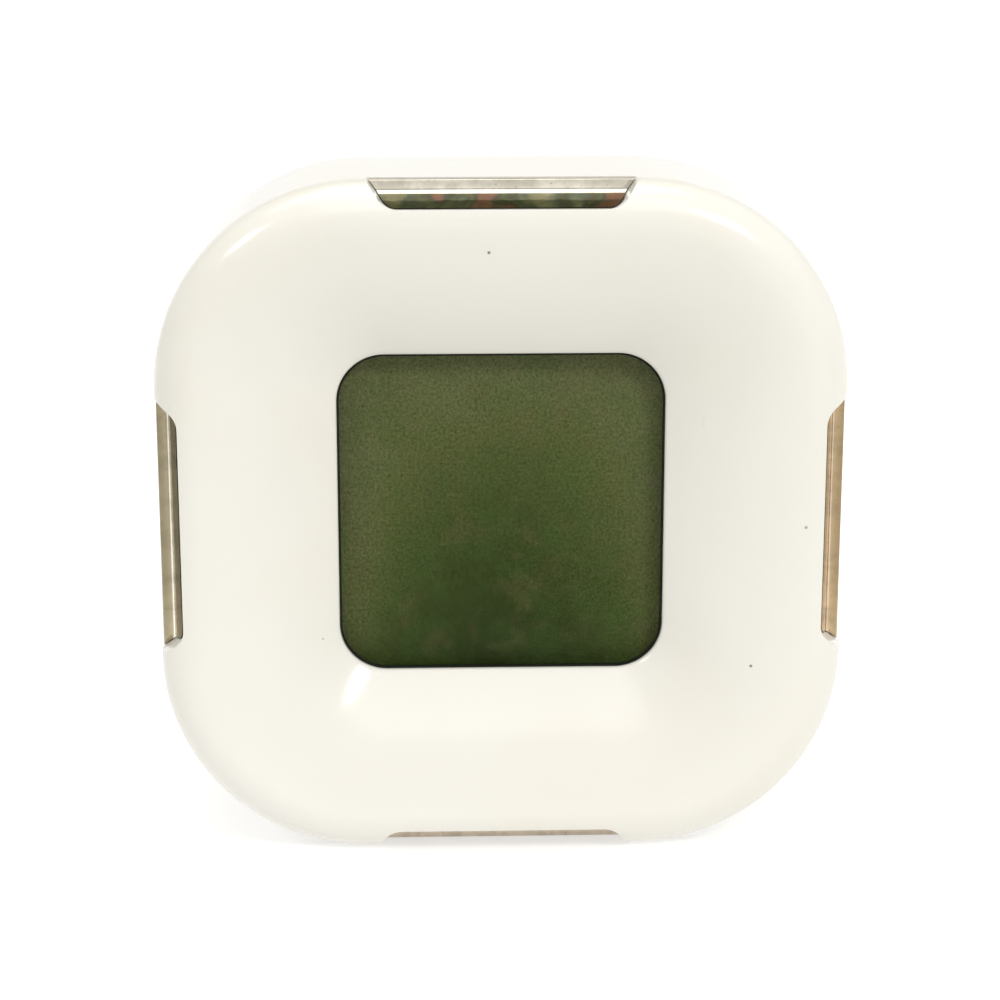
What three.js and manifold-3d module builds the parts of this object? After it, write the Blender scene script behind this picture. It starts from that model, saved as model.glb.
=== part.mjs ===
// A square desk clock and thermometer, which is turned onto any of its four sides to change what it shows.
// Millimetres, +Z up, display facing -Y. The origin is the middle of the footprint it stands on.
// Inside the file each piece is placed in the case frame: y = 0 is the seam between the two shells,
// +Y runs to the back, and x = z = 0 is the middle of the square.
import * as THREE from "three";
import Module from "manifold-3d";
import { mergeVertices } from "three/addons/utils/BufferGeometryUtils.js";

const wasm = await Module();
wasm.setup();

// ---- Driving dimensions ----
const caseSide = 80; // across the flats of the square case
const cornerRadius = 24.1; // corner of the case, seen from the front
const wall = 2; // casing wall
const rimDepth = 4.3; // crest of the front bezel to the seam
const rimWidth = 4.7; // case side to the crest of the bezel
const windowSide = 38.4; // opening for the display
const windowCorner = 5.6;
const windowSink = 3.2; // seam to the front edge of the opening
const dishPower = 1.6; // how the bezel steepens towards the opening
const sideLand = 18; // straight part of the rear shell's sides, on which the clock stands
const backRound = 12; // rounding from the sides to the back, in both directions
const seamGap = 0.25;
const tongueThickness = 1.1;
const tongueReach = 0.8; // past the seam, into the front shell
const tongueGap = 0.4; // tongue to the rim

const glueGap = 0.1; // between glued or stacked faces
const looseGap = 0.3; // round a piece that drops into a pocket
const runningGap = 0.2; // round a piece that moves

const lipThickness = 0.8; // edge of the opening in front of the lens
const gasketWidth = 0.3; // black ring inside the opening
const gasketRecess = 0.35; // behind the opening's front edge
const lensThickness = 1.2;
const lensOverlap = 1.5; // lens past the opening, each side
const collarWall = 1.75; // square collar behind the opening, which locates the lens
const filmThickness = 0.2;
const glassThickness = 1.1;
const glassOverlap = 2; // display glass past the opening, each side
const ledgeWidth = 2; // contact ledge of the front glass, past the rear glass
const stripThickness = 1.3;
const guideThickness = 2.5;
const frameWall = 1.5;
const frameLip = 0.6; // lip of the frame in front of the glass
const guideToBoard = 0.75;
const ledLength = 3.2;
const ledWidth = 1.6;
const ledHeight = 2.1;
const boardThickness = 1.6;
const boardCorner = 3; // least cut across each corner of the board
const underBay = 2; // room between the board and the battery bay

const cellDiameter = 10.5;
const cellLength = 44.5; // over the positive nub
const nubDiameter = 3.8;
const nubLength = 1.1;
const cellGap = 0.4; // between the cells, and from a cell to the bay's long walls
const bayFloor = 1;
const bayWall = 2;
const bayDrop = 4; // bay's middle below the middle of the case
const terminalThickness = 0.4;
const springLength = 2.6;
const padThickness = 0.8;
const doorThickness = 1.8;
const doorOverlap = 1.1; // door past the inside of the bay, each side

const notchLength = 30.6; // notch in the rim for a trim, along the case side
const notchSlope = 0.73; // how fast each end of the notch closes in, away from the case side
const notchCorner = 2.4; // rounding at the inner corners of the notch
const trimRecess = 0.15; // trim's ledge inside the case side
const trimLedgeBehindSeam = 0.9;
const trimLedgeWidth = 1.35;
const trimThickness = 0.9;
const trimGap = 0.15;
const trimWallRun = 1.35; // how far the trim's wall leans in from the ledge to its front edge

const postRadius = 3.8; // rear screw posts
const frontPostRadius = 3;
const headRadius = 2.5;
const shankRadius = 1.3;
const pilotRadius = 1.45;
const clearanceRadius = 1.6;
const screwLength = 13;
const postJoint = 8; // where the front and rear posts meet
const screwSeat = 15.5;
const bossRadius = 2.2; // board bosses on the front shell
const boardHeadRadius = 1.9;
const lowerBossDrop = 18; // lower board bosses below the middle of the case

const buttonRadius = 3.25;
const buttonProud = 0.8;
const buttonTravel = 0.5;
const buttonPitch = 12.5;
const buttonHeight = 17; // above the middle of the case
const flangeRadius = 4.3;
const flangeThickness = 1;
const stemRadius = 1.5;
const sleeveWall = 1.2;
const sleeveLength = 5;
const switchSide = 6;
const switchHeight = 3.4;
const plungerRadius = 1.7;
const plungerHeight = 0.8; // above the switch body
const plungerSunk = 0.6;

const ballRadius = 1.5;
const ballTravel = 1.9; // up and down inside the tilt sensor
const tiltWall = 1;
const tiltLid = 0.6;

const buzzerRadius = 5.5;
const buzzerHeight = 4.5;
const ventCount = 5; // sound holes, in a row
const ventPitch = 3;
const ventRadius = 0.7;

// ---- Worked-out sizes ----
const caseHalf = caseSide / 2;
const windowHalf = windowSide / 2;
const crestHalf = caseHalf - rimWidth;
const sideStraight = caseHalf - cornerRadius; // half of the straight part of each side
const lensHalf = windowHalf + lensOverlap;
const collarInner = lensHalf + 0.15;
const collarOuter = collarInner + collarWall;
const glassHalf = windowHalf + glassOverlap;
const rearGlassHalfZ = glassHalf - ledgeWidth;
const ledXs = [-windowHalf / 2, windowHalf / 2];
const frameInner = glassHalf + looseGap;
const frameOuter = frameInner + frameWall;

const lensFront = windowSink + lipThickness + glueGap;
const lensBack = lensFront + lensThickness;
const frameFront = lensBack + 0.2;
const frontGlassFront = frameFront + frameLip + glueGap / 2;
const polariserFront = frontGlassFront - glueGap / 2 - filmThickness;
const rearGlassFront = frontGlassFront + glassThickness + glueGap / 2;
const reflectorFront = rearGlassFront + glassThickness + glueGap / 2;
const guideFront = reflectorFront + filmThickness + glueGap;
const boardFront = guideFront + guideThickness + guideToBoard;
const boardBack = boardFront + boardThickness;
const bayFront = boardBack + underBay;
const bayInside = bayFront + bayFloor;
const cellAxisY = bayInside + looseGap + cellDiameter / 2;
const padFront = cellAxisY + cellDiameter / 2 + 0.2;
const doorFront = padFront + padThickness + glueGap;
const backY = doorFront + doorThickness;
const backHalf = caseHalf - backRound;

const bossX = frameOuter + 0.4 + bossRadius;
// The upper bosses stand just below the row of switches.
const bossZ = (side) => (side > 0 ? buttonHeight - switchSide / 2 - boardHeadRadius - 0.5 : -lowerBossDrop);
// The screw posts stand in the corners, against the inside of the wall.
const innerDiagonal = sideStraight + (cornerRadius - wall) * Math.SQRT1_2;
const postAt = innerDiagonal - (frontPostRadius + 0.25) * Math.SQRT1_2;

const bayHalfX = cellLength / 2 + (springLength + 2 * terminalThickness + 0.6) / 2;
const bayHalfZ = cellDiameter + 1.5 * cellGap + 0.1;
const bayZ = -bayDrop;
// The board takes in its bosses, and the buzzer just below the battery bay.
const bayLowerZ = bayZ - bayHalfZ - bayWall;
const boardHalf = Math.max(bossX + bossRadius + 0.8, 2 * buzzerRadius + 0.4 - bayLowerZ);
const cellOffset = (cellDiameter + cellGap) / 2;
const doorHalfX = bayHalfX + doorOverlap;
const doorHalfZ = bayHalfZ + doorOverlap;
const buzzerZ = buzzerRadius + 0.3 - boardHalf;
const buttonXs = [-1.5, -0.5, 0.5, 1.5].map((n) => n * buttonPitch);

const buttonNames = ["set", "down", "up", "unit"];
const corners = [
  [1, 1],
  [-1, 1],
  [-1, -1],
  [1, -1],
];

// ---- Solids ----
const cornerSteps = 8;
const fine = 20; // sides of a round piece that shows
const coarse = 12; // sides of a small round piece inside

// A closed geometry as a solid, turned the right way out.
function solid(geometry) {
  const bare = geometry.index ? geometry.toNonIndexed() : geometry.clone();
  bare.deleteAttribute("normal");
  bare.deleteAttribute("uv");
  const merged = mergeVertices(bare, 1e-4);
  const triVerts = new Uint32Array(merged.index.array);
  const vertProperties = new Float32Array(merged.attributes.position.array);
  const made = new wasm.Manifold(new wasm.Mesh({ numProp: 3, vertProperties, triVerts }));
  if (made.volume() > 0) return made;
  for (let i = 0; i < triVerts.length; i += 3) {
    [triVerts[i + 1], triVerts[i + 2]] = [triVerts[i + 2], triVerts[i + 1]];
  }
  return new wasm.Manifold(new wasm.Mesh({ numProp: 3, vertProperties, triVerts }));
}

// A solid as a geometry that a mesh can hold.
function geometryOf(made) {
  const { vertProperties, triVerts } = made.getMesh();
  const geometry = new THREE.BufferGeometry();
  geometry.setAttribute("position", new THREE.BufferAttribute(vertProperties, 3));
  geometry.setIndex(new THREE.BufferAttribute(triVerts, 1));
  return geometry;
}

// A box between two corners.
function box(x0, y0, z0, x1, y1, z1) {
  const geometry = new THREE.BoxGeometry(x1 - x0, y1 - y0, z1 - z0);
  return solid(geometry.translate((x0 + x1) / 2, (y0 + y1) / 2, (z0 + z1) / 2));
}

// A box centred on x = z = 0, or on a given middle, from one depth to another.
function slab(halfX, halfZ, y0, y1, x = 0, z = 0) {
  return box(x - halfX, y0, z - halfZ, x + halfX, y1, z + halfZ);
}

// A cylinder along Y.
function rod(radius, y0, y1, x = 0, z = 0, sides = coarse) {
  const geometry = new THREE.CylinderGeometry(radius, radius, y1 - y0, sides);
  return solid(geometry.translate(0, (y0 + y1) / 2, 0).translate(x, 0, z));
}

// A turned piece: the profile is [radius, y] points that start and end on the Y axis.
function turned(profile, sides = coarse) {
  return solid(new THREE.LatheGeometry(profile.map(([r, y]) => new THREE.Vector2(r, y)), sides));
}

// A round wire or lead along a curve.
function tube(curve, radius, steps, sides = 8) {
  const section = new THREE.Shape();
  for (let i = 0; i < sides; i += 1) {
    const angle = (i / sides) * 2 * Math.PI;
    const place = i ? "lineTo" : "moveTo";
    section[place](radius * Math.cos(angle), radius * Math.sin(angle));
  }
  section.closePath();
  return solid(new THREE.ExtrudeGeometry(section, { steps, extrudePath: curve, curveSegments: 1 }));
}

// The rounded square of a given half size and half straight, at one depth.
function outline(half, straight, y) {
  const radius = half - straight;
  const points = [];
  for (let quarter = 0; quarter < 4; quarter += 1) {
    const [sx, sz] = corners[quarter];
    for (let i = 0; i <= cornerSteps; i += 1) {
      const angle = ((quarter + i / cornerSteps) * Math.PI) / 2;
      points.push([sx * straight + radius * Math.cos(angle), y, sz * straight + radius * Math.sin(angle)]);
    }
  }
  return points;
}

// Joins outlines into one closed surface: as a ring if it closes on itself, else with flat ends.
function loft(rings, closesOnItself) {
  const count = rings[0].length;
  const points = rings.flat();
  const faces = [];
  const last = closesOnItself ? rings.length : rings.length - 1;
  for (let r = 0; r < last; r += 1) {
    const here = r * count;
    const next = ((r + 1) % rings.length) * count;
    for (let i = 0; i < count; i += 1) {
      const j = (i + 1) % count;
      faces.push(here + i, here + j, next + j, here + i, next + j, next + i);
    }
  }
  if (!closesOnItself) {
    const back = (rings.length - 1) * count;
    for (let i = 1; i < count - 1; i += 1) {
      faces.push(0, i + 1, i, back, back + i, back + i + 1);
    }
  }
  const geometry = new THREE.BufferGeometry();
  geometry.setAttribute("position", new THREE.Float32BufferAttribute(points.flat(), 3));
  geometry.setIndex(faces);
  return solid(geometry);
}

// A flat plate with rounded corners.
function roundedPlate(half, corner, y0, y1) {
  return loft([outline(half, half - corner, y0), outline(half, half - corner, y1)], false);
}

// Half of a side's straight part, on the ring of the bezel with this half size.
function bezelStraight(half) {
  const share = THREE.MathUtils.clamp((half - windowHalf) / (crestHalf - windowHalf), 0, 1);
  return THREE.MathUtils.lerp(windowHalf - windowCorner, sideStraight, share);
}

// The outside of the bezel as [half size, y] from the seam, over the crest, and down to the opening.
function bezelProfile() {
  const rollSteps = 6;
  const dishSteps = 7;
  const profile = [];
  for (let i = 0; i <= rollSteps; i += 1) {
    const angle = (i / rollSteps) * (Math.PI / 2);
    profile.push([crestHalf + rimWidth * Math.cos(angle), -rimDepth * Math.sin(angle)]);
  }
  for (let i = 1; i <= dishSteps; i += 1) {
    const share = i / dishSteps;
    const half = THREE.MathUtils.lerp(crestHalf, windowHalf, share);
    profile.push([half, -rimDepth + (windowSink + rimDepth) * share ** dishPower]);
  }
  return profile;
}

// The inside of a profile: each point moved in by the wall, square to the surface.
function insideOf(profile) {
  return profile.map(([half, y], i) => {
    const [h0, y0] = profile[Math.max(i - 1, 0)];
    const [h1, y1] = profile[Math.min(i + 1, profile.length - 1)];
    const length = Math.hypot(h1 - h0, y1 - y0);
    return [half + (wall * (y1 - y0)) / length, y - (wall * (h1 - h0)) / length];
  });
}

// ---- Casing ----

const trimLedgeZ = caseHalf - trimRecess;
const trimCornerZ = trimLedgeZ - trimLedgeWidth;
const trimFrontZ = trimCornerZ - trimWallRun;
const trimBackY = trimLedgeBehindSeam + trimThickness;
// The front edge of the trim lies on the bezel's outer roll.
const trimFrontY = -rimDepth * Math.sqrt(1 - ((trimFrontZ - crestHalf) / rimWidth) ** 2);
const trimLean = Math.atan2(trimWallRun, trimLedgeBehindSeam - trimFrontY);

// Height of a plane behind the face of the upper trim's wall, at one depth in the case.
function wallBackZ(distance, y) {
  return trimFrontZ + (y - trimFrontY) * Math.tan(trimLean) - distance / Math.cos(trimLean);
}

// The upper notch seen from the front, with leaning ends and round inner corners, grown by a margin.
function notchPrism(margin) {
  const topZ = caseHalf + 2;
  const bottomZ = trimFrontZ - margin;
  const halfAt = (z) => notchLength / 2 - (caseHalf - z) * notchSlope + margin;
  const endAngle = Math.atan2(1, notchSlope);
  const arcX = halfAt(bottomZ) - notchCorner * Math.tan(endAngle / 2);
  const arcZ = bottomZ + notchCorner;
  const down = -Math.PI / 2;
  const shape = new THREE.Shape();
  shape.absarc(-arcX, arcZ, notchCorner, down - endAngle, down);
  shape.absarc(arcX, arcZ, notchCorner, down, down + endAngle);
  shape.lineTo(halfAt(topZ), topZ);
  shape.lineTo(-halfAt(topZ), topZ);
  shape.closePath();
  const depth = 20;
  const geometry = new THREE.ExtrudeGeometry(shape, { depth, bevelEnabled: false, curveSegments: 3 });
  return solid(geometry.rotateX(Math.PI / 2).translate(0, depth / 2, 0));
}

// A bar along X with a section of [y, z] points.
function bar(section, half) {
  const shape = new THREE.Shape(section.map(([y, z]) => new THREE.Vector2(y, z)));
  const geometry = new THREE.ExtrudeGeometry(shape, { depth: 2 * half, bevelEnabled: false });
  geometry.translate(0, 0, -half);
  // The extrusion's x, y and z become the case's y, z and x.
  geometry.applyMatrix4(new THREE.Matrix4().set(0, 0, 1, 0, 1, 0, 0, 0, 0, 1, 0, 0, 0, 0, 0, 1));
  return solid(geometry);
}

// Room for the upper trim: everything outside the back of its wall and in front of its ledge's back.
function trimRoom() {
  const front = -rimDepth - 3;
  const back = trimBackY + trimGap;
  const behind = trimThickness + trimGap;
  const section = [
    [front, wallBackZ(behind, front)],
    [back, wallBackZ(behind, back)],
    [back, caseHalf + 1],
    [front, caseHalf + 1],
  ];
  return bar(section, notchLength).intersect(notchPrism(0));
}

// The same solid on each of the case's four sides.
function onFourSides(made) {
  const turns = [0, 90, 180, 270].map((degrees) => made.rotate([0, degrees, 0]));
  return turns.reduce((sum, turn) => sum.add(turn));
}

// Front shell: the dished bezel, with a notch in each side for a trim, a collar for the lens,
// four posts for the case screws and four bosses for the circuit board.
function frontShell() {
  const outside = bezelProfile();
  const inside = insideOf(outside).filter(([half]) => half > collarOuter + 0.4);
  const collarFoot = inside[inside.length - 1][1] + 0.5;
  const lipBack = windowSink + lipThickness;
  const collarBack = lensBack + 0.1;
  const rim = [[caseHalf - wall, 0]];
  const section = [
    ...outside,
    [windowHalf, lipBack],
    [collarInner, lipBack],
    [collarInner, collarBack],
    [collarOuter, collarBack],
    [collarOuter, collarFoot],
    ...inside.slice(1).reverse(),
    ...rim,
  ];
  let shell = loft(section.map(([half, y]) => outline(half, bezelStraight(half), y)), true);
  const frontOfPosts = -rimDepth + wall / 2;
  for (const [sx, sz] of corners) {
    shell = shell.add(rod(frontPostRadius, frontOfPosts, postJoint, sx * postAt, sz * postAt));
    shell = shell.add(rod(bossRadius, 0, boardFront - glueGap, sx * bossX, bossZ(sz)));
    shell = shell.subtract(rod(pilotRadius, 1, postJoint + 1, sx * postAt, sz * postAt));
    shell = shell.subtract(rod(1, 5, boardFront + 1, sx * bossX, bossZ(sz), 8));
  }
  return shell.subtract(onFourSides(trimRoom()));
}

// Mirrored trim for one side: a wall that leans in towards the front, and a ledge just behind the seam.
function trim() {
  const edgeY = trimFrontY - 0.3 * trimThickness;
  const section = [
    [trimFrontY, trimFrontZ],
    [trimLedgeBehindSeam, trimCornerZ],
    [trimLedgeBehindSeam, trimLedgeZ],
    [trimBackY, trimLedgeZ],
    [trimBackY, wallBackZ(trimThickness, trimBackY)],
    [edgeY, wallBackZ(trimThickness, edgeY)],
  ];
  return bar(section, notchLength).intersect(notchPrism(-trimGap));
}

// The outside of the rear shell as [half size, y], from the seam to the middle of the back.
function rearProfile(inset) {
  const steps = 6;
  const profile = [[caseHalf - inset, inset ? -5 : seamGap]];
  for (let i = 0; i <= steps; i += 1) {
    const angle = (i / steps) * (Math.PI / 2);
    const half = backHalf + (backRound - inset) * Math.cos(angle);
    profile.push([half, sideLand + (backY - sideLand - inset) * Math.sin(angle)]);
  }
  return profile;
}

const hookXs = [-15, 15];
const hookHalf = 3;
const hookDrop = 1.8; // from the door's inner face to the hook's front
const hookBack = doorFront - 0.4;
const doorEdgeZ = bayZ + doorHalfZ;
const hookTipZ = doorEdgeZ + 1.5;

// A tongue inside the front shell's rim, which closes the seam except at the trims and the screw posts.
function seamTongue() {
  const outer = caseHalf - wall - tongueGap;
  const inner = outer - tongueThickness;
  const section = [
    [outer, -tongueReach],
    [outer, seamGap + 1],
    [caseHalf - wall + 0.4, seamGap + 1.8],
    [inner, seamGap + 2.6],
    [inner, -tongueReach],
  ];
  let tongue = loft(section.map(([half, y]) => outline(half, sideStraight, y)), true);
  for (const [sx, sz] of corners) {
    const room = rod(frontPostRadius + runningGap, -2, seamGap + 3, sx * postAt, sz * postAt);
    tongue = tongue.subtract(room);
  }
  const half = notchLength / 2 + looseGap;
  return tongue.subtract(onFourSides(box(-half, -2, inner - 1, half, trimBackY + trimGap, caseHalf)));
}

// Rear shell: a deep cup with the battery bay, screw posts, button sleeves and sound holes.
function rearShell() {
  const rings = (inset) => rearProfile(inset).map(([half, y]) => outline(half, sideStraight, y));
  const outside = loft(rings(0), false);
  let shell = outside.subtract(loft(rings(wall), false));

  shell = shell.add(seamTongue()).subtract(onFourSides(trimRoom()));
  for (const [sx, sz] of corners) {
    const post = rod(postRadius, postJoint + 0.2, backY, sx * postAt, sz * postAt, fine);
    shell = shell.add(post.intersect(outside));
  }
  for (const x of buttonXs) {
    const sleeve = rod(
      flangeRadius + runningGap + sleeveWall,
      backY - wall - sleeveLength,
      backY - wall / 2,
      x,
      buttonHeight,
      fine,
    );
    shell = shell.add(sleeve);
  }
  shell = shell.add(slab(bayHalfX + bayWall, bayHalfZ + bayWall, bayFront, backY - wall / 2, 0, bayZ));

  // Cuts, from the back.
  for (const [sx, sz] of corners) {
    shell = shell.subtract(rod(headRadius + looseGap, screwSeat, backY + 1, sx * postAt, sz * postAt, fine));
    shell = shell.subtract(rod(clearanceRadius, 5, backY, sx * postAt, sz * postAt));
  }
  for (const x of buttonXs) {
    shell = shell.subtract(rod(buttonRadius + runningGap, backY - wall - 1, backY + 1, x, buttonHeight, fine));
    const bore = flangeRadius + runningGap;
    shell = shell.subtract(rod(bore, backY - wall - sleeveLength - 1, backY - wall, x, buttonHeight, fine));
  }
  for (let i = 0; i < ventCount; i += 1) {
    const x = (i - (ventCount - 1) / 2) * ventPitch;
    shell = shell.subtract(rod(ventRadius, backY - wall - 1, backY + 1, x, buzzerZ, 8));
  }
  shell = shell.subtract(slab(bayHalfX, bayHalfZ, bayInside, backY + 1, 0, bayZ));
  const doorRoom = 0.15;
  shell = shell.subtract(
    slab(doorHalfX + doorRoom, doorHalfZ + doorRoom, doorFront - glueGap, backY + 1, 0, bayZ),
  );
  for (const x of hookXs) {
    const half = hookHalf + looseGap;
    const low = bayZ + bayHalfZ - 1;
    const neckRoom = box(x - half, doorFront - hookDrop - 2, low, x + half, doorFront, doorEdgeZ);
    const hookRoom = box(x - half, doorFront - hookDrop - 2, low, x + half, hookBack + 0.2, hookTipZ + 0.5);
    shell = shell.subtract(neckRoom).subtract(hookRoom);
  }
  // Slots in the bay's floor for the terminals' solder tabs.
  for (const side of [-1, 1]) {
    const slot = slab(0.6, 1.4, bayFront - 1, bayInside + 1, bayHalfX - 0.6, bayZ + side * cellOffset);
    shell = shell.subtract(slot);
  }
  // Finger recess under the door's lower edge.
  const scoop = new THREE.CylinderGeometry(5, 5, 12, fine).rotateZ(Math.PI / 2);
  scoop.translate(0, backY + 3.7, bayZ - doorHalfZ - 0.6);
  return shell.subtract(solid(scoop));
}

// Battery door: a plate with two hooks on its upper edge, which swing into the bay as it opens.
function batteryDoor() {
  let door = slab(doorHalfX, doorHalfZ, doorFront, backY, 0, bayZ);
  for (const x of hookXs) {
    const low = doorEdgeZ - 1.8;
    const neck = box(x - hookHalf, doorFront - hookDrop, low, x + hookHalf, doorFront + 0.5, doorEdgeZ - 0.3);
    const hook = box(x - hookHalf, doorFront - hookDrop, low, x + hookHalf, hookBack, hookTipZ);
    door = door.add(neck).add(hook);
  }
  return door;
}

// Foam strip inside the door, which presses on the cells.
function batteryPad() {
  return slab(18, 6, padFront, padFront + padThickness, 0, bayZ - 1);
}

// ---- Display ----

// Thin black ring that lines the opening, in front of the lens.
function displayGasket() {
  const front = windowSink + gasketRecess;
  const back = lensFront - glueGap / 2;
  const outer = windowHalf - glueGap / 2;
  const plate = roundedPlate(outer, windowCorner, front, back);
  return plate.subtract(roundedPlate(outer - gasketWidth, windowCorner - gasketWidth, front - 1, back + 1));
}

// Frame round the display glass, standing on the circuit board, with a lip in front of the glass.
function lcdFrame() {
  const outer = slab(frameOuter, frameOuter, frameFront, boardFront - glueGap);
  const inner = slab(frameInner, frameInner, frameFront + frameLip, boardFront);
  const opening = slab(lensHalf, lensHalf, frameFront - 1, boardFront);
  return outer.subtract(inner).subtract(opening);
}

// Light guide with a pocket in its lower edge for each LED.
function lightGuide() {
  let guide = slab(glassHalf, rearGlassHalfZ, guideFront, guideFront + guideThickness);
  for (const x of ledXs) {
    const pocketHalfZ = ledWidth + looseGap;
    guide = guide.subtract(
      slab(ledLength / 2 + looseGap, pocketHalfZ, guideFront - 1, boardFront, x, -rearGlassHalfZ),
    );
  }
  return guide;
}

function backlightLed() {
  return slab(ledLength / 2, ledWidth / 2, boardFront - ledHeight, boardFront - 0.05);
}

// ---- Circuit board and what stands on it ----

function circuitBoard() {
  const cut = Math.max(boardCorner, 2 * boardHalf - (2 * postAt - Math.SQRT2 * (postRadius + 0.6)));
  const edge = boardHalf - cut;
  const shape = new THREE.Shape();
  corners.forEach(([sx, sz], i) => {
    const first = i % 2 ? [sx * edge, sz * boardHalf] : [sx * boardHalf, sz * edge];
    const second = i % 2 ? [sx * boardHalf, sz * edge] : [sx * edge, sz * boardHalf];
    if (i) shape.lineTo(...first);
    else shape.moveTo(...first);
    shape.lineTo(...second);
  });
  shape.closePath();
  const plate = new THREE.ExtrudeGeometry(shape, { depth: boardThickness, bevelEnabled: false });
  let board = solid(plate.rotateX(Math.PI / 2).translate(0, boardBack, 0));
  for (const [sx, sz] of corners) {
    board = board.subtract(rod(1.3, boardFront - 1, boardBack + 1, sx * bossX, bossZ(sz)));
  }
  return board;
}

// Epoxy dome over the clock chip.
function chipCover() {
  const base = boardBack + 0.05;
  return turned([
    [0, base],
    [5.5, base],
    [5, base + 0.6],
    [3.4, base + 1.2],
    [0, base + 1.5],
  ], 16);
}

// Watch crystal lying along X.
function crystal() {
  return solid(new THREE.CylinderGeometry(1, 1, 6, coarse).rotateZ(Math.PI / 2));
}

function capacitor() {
  const base = boardBack + 0.05;
  return turned([
    [0, base],
    [2, base],
    [2, base + 0.7],
    [1.8, base + 0.9],
    [2, base + 1.1],
    [2, base + 5],
    [0, base + 5],
  ]);
}

// Thermistor: a bead on two leads, bent up from the board towards the vents.
function thermistor() {
  const base = boardBack + 0.05;
  const bead = new THREE.SphereGeometry(1.3, 10, 8).scale(1, 1.3, 0.8).translate(0, base + 5.2, 0);
  let made = solid(bead);
  for (const x of [-0.6, 0.6]) {
    made = made.add(rod(0.25, base, base + 4.6, x, 0, 6));
  }
  return made;
}

function buzzer() {
  const base = boardBack + 0.05;
  const can = rod(buzzerRadius, base, base + buzzerHeight, 0, 0, fine);
  return can.subtract(rod(1, base + buzzerHeight - 1.5, base + buzzerHeight + 1));
}

// Tilt sensor: a cup on the board, a steel ball free to run inside, and a lid.
const tiltInner = ballRadius + ballTravel / 2 + 0.05;
const tiltOuter = tiltInner + tiltWall;
const tiltBase = boardBack + 0.05;
const tiltFloorY = tiltBase + 0.8;
const tiltRimY = tiltFloorY + 2 * ballRadius + 0.1;
const tiltZ = boardHalf - tiltOuter - 0.9;

function tiltHousing() {
  const cup = slab(tiltOuter, tiltOuter, tiltBase, tiltRimY);
  return cup.subtract(slab(tiltInner, tiltInner, tiltFloorY, tiltRimY + 1));
}

function tiltBall() {
  return solid(new THREE.SphereGeometry(ballRadius, 12, 8));
}

function switchBody() {
  const half = switchSide / 2;
  const top = boardBack + 0.05 + switchHeight;
  const body = slab(half, half, boardBack + 0.05, top);
  const bore = plungerRadius + runningGap;
  return body.subtract(rod(bore, top - plungerSunk - buttonTravel - 0.2, top + 1));
}

const plungerTop = boardBack + 0.05 + switchHeight + plungerHeight;

function switchPlunger() {
  return rod(plungerRadius, plungerTop - plungerHeight - plungerSunk, plungerTop);
}

// Push button: domed cap, a flange that stops it inside the back wall, and a stem to its switch.
function button() {
  const top = backY + buttonProud;
  const flangeBack = backY - wall - 0.1;
  const stemFront = plungerTop + 0.1;
  return turned([
    [0, stemFront],
    [stemRadius, stemFront],
    [stemRadius, flangeBack - flangeThickness],
    [flangeRadius, flangeBack - flangeThickness],
    [flangeRadius, flangeBack],
    [buttonRadius, flangeBack],
    [buttonRadius, top - 0.5],
    [buttonRadius - 0.4, top - 0.12],
    [0, top],
  ], fine);
}

// ---- Power ----

// AAA cell along X, with its positive nub at +X.
function cell() {
  const radius = cellDiameter / 2;
  const half = cellLength / 2;
  const shoulder = half - nubLength;
  const body = turned([
    [0, -half],
    [radius - 0.5, -half],
    [radius, -half + 0.5],
    [radius, shoulder - 0.5],
    [radius - 0.5, shoulder],
    [nubDiameter / 2, shoulder],
    [nubDiameter / 2, half - 0.2],
    [nubDiameter / 2 - 0.2, half],
    [0, half],
  ], fine);
  return body.rotate([0, 0, -90]);
}

// A flat terminal at the bay's +X end, with a tab through the floor where it is soldered.
function terminal() {
  const x = bayHalfX - 0.15;
  const plate = box(x - terminalThickness, bayInside + 0.8, -4.3, x, cellAxisY + 4.2, 4.3);
  const tab = box(x - terminalThickness, bayFront - 1.2, -1.1, x, bayInside + 1, 1.1);
  return plate.add(tab);
}

// The terminal that joins the two cells at the bay's -X end.
function bridgeTerminal() {
  const x = -bayHalfX + 0.15;
  const reach = cellOffset + 4.3;
  return box(x, bayInside + 0.8, -reach, x + terminalThickness, cellAxisY + 4.2, reach);
}

// Coil spring that presses on a cell's flat end, wound along X and narrower towards the cell.
class CoilPath extends THREE.Curve {
  getPoint(share, target = new THREE.Vector3()) {
    const turns = 3;
    const angle = share * turns * 2 * Math.PI;
    const radius = 3.4 - 1.2 * share;
    const length = springLength - 0.8;
    return target.set(-0.4 - length * share, radius * Math.cos(angle), radius * Math.sin(angle));
  }
}

function spring() {
  return tube(new CoilPath(), 0.25, 42, 6);
}

// A short lead from a terminal's tab to its pad at the edge of the board.
function lead(side) {
  const from = new THREE.Vector3(bayHalfX + 0.15, bayFront - 0.75, side * 1.2);
  const path = new THREE.CatmullRomCurve3([
    from,
    from.clone().add(new THREE.Vector3(0.9, 0, side * 0.4)),
    new THREE.Vector3(boardHalf - 0.9, bayFront - 0.9, side * 4),
    new THREE.Vector3(boardHalf - 0.9, boardBack + 0.75, side * 7),
  ]);
  return tube(path, 0.5, 14);
}

// ---- Fasteners ----

// Pan-head screw along Y, head at +Y with a cross recess, seated at y = 0.
function screw(head, headHeight, shank, length) {
  const made = turned([
    [0, -length],
    [shank * 0.4, -length],
    [shank, -length + shank],
    [shank, 0.05],
    [head, 0.05],
    [head, headHeight * 0.6],
    [head * 0.75, headHeight],
    [0, headHeight],
  ]);
  const depth = headHeight * 0.6;
  const arm = slab(head * 0.55, head * 0.13, headHeight - depth, headHeight + 1);
  return made.subtract(arm).subtract(arm.rotate([0, 90, 0]));
}

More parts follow.
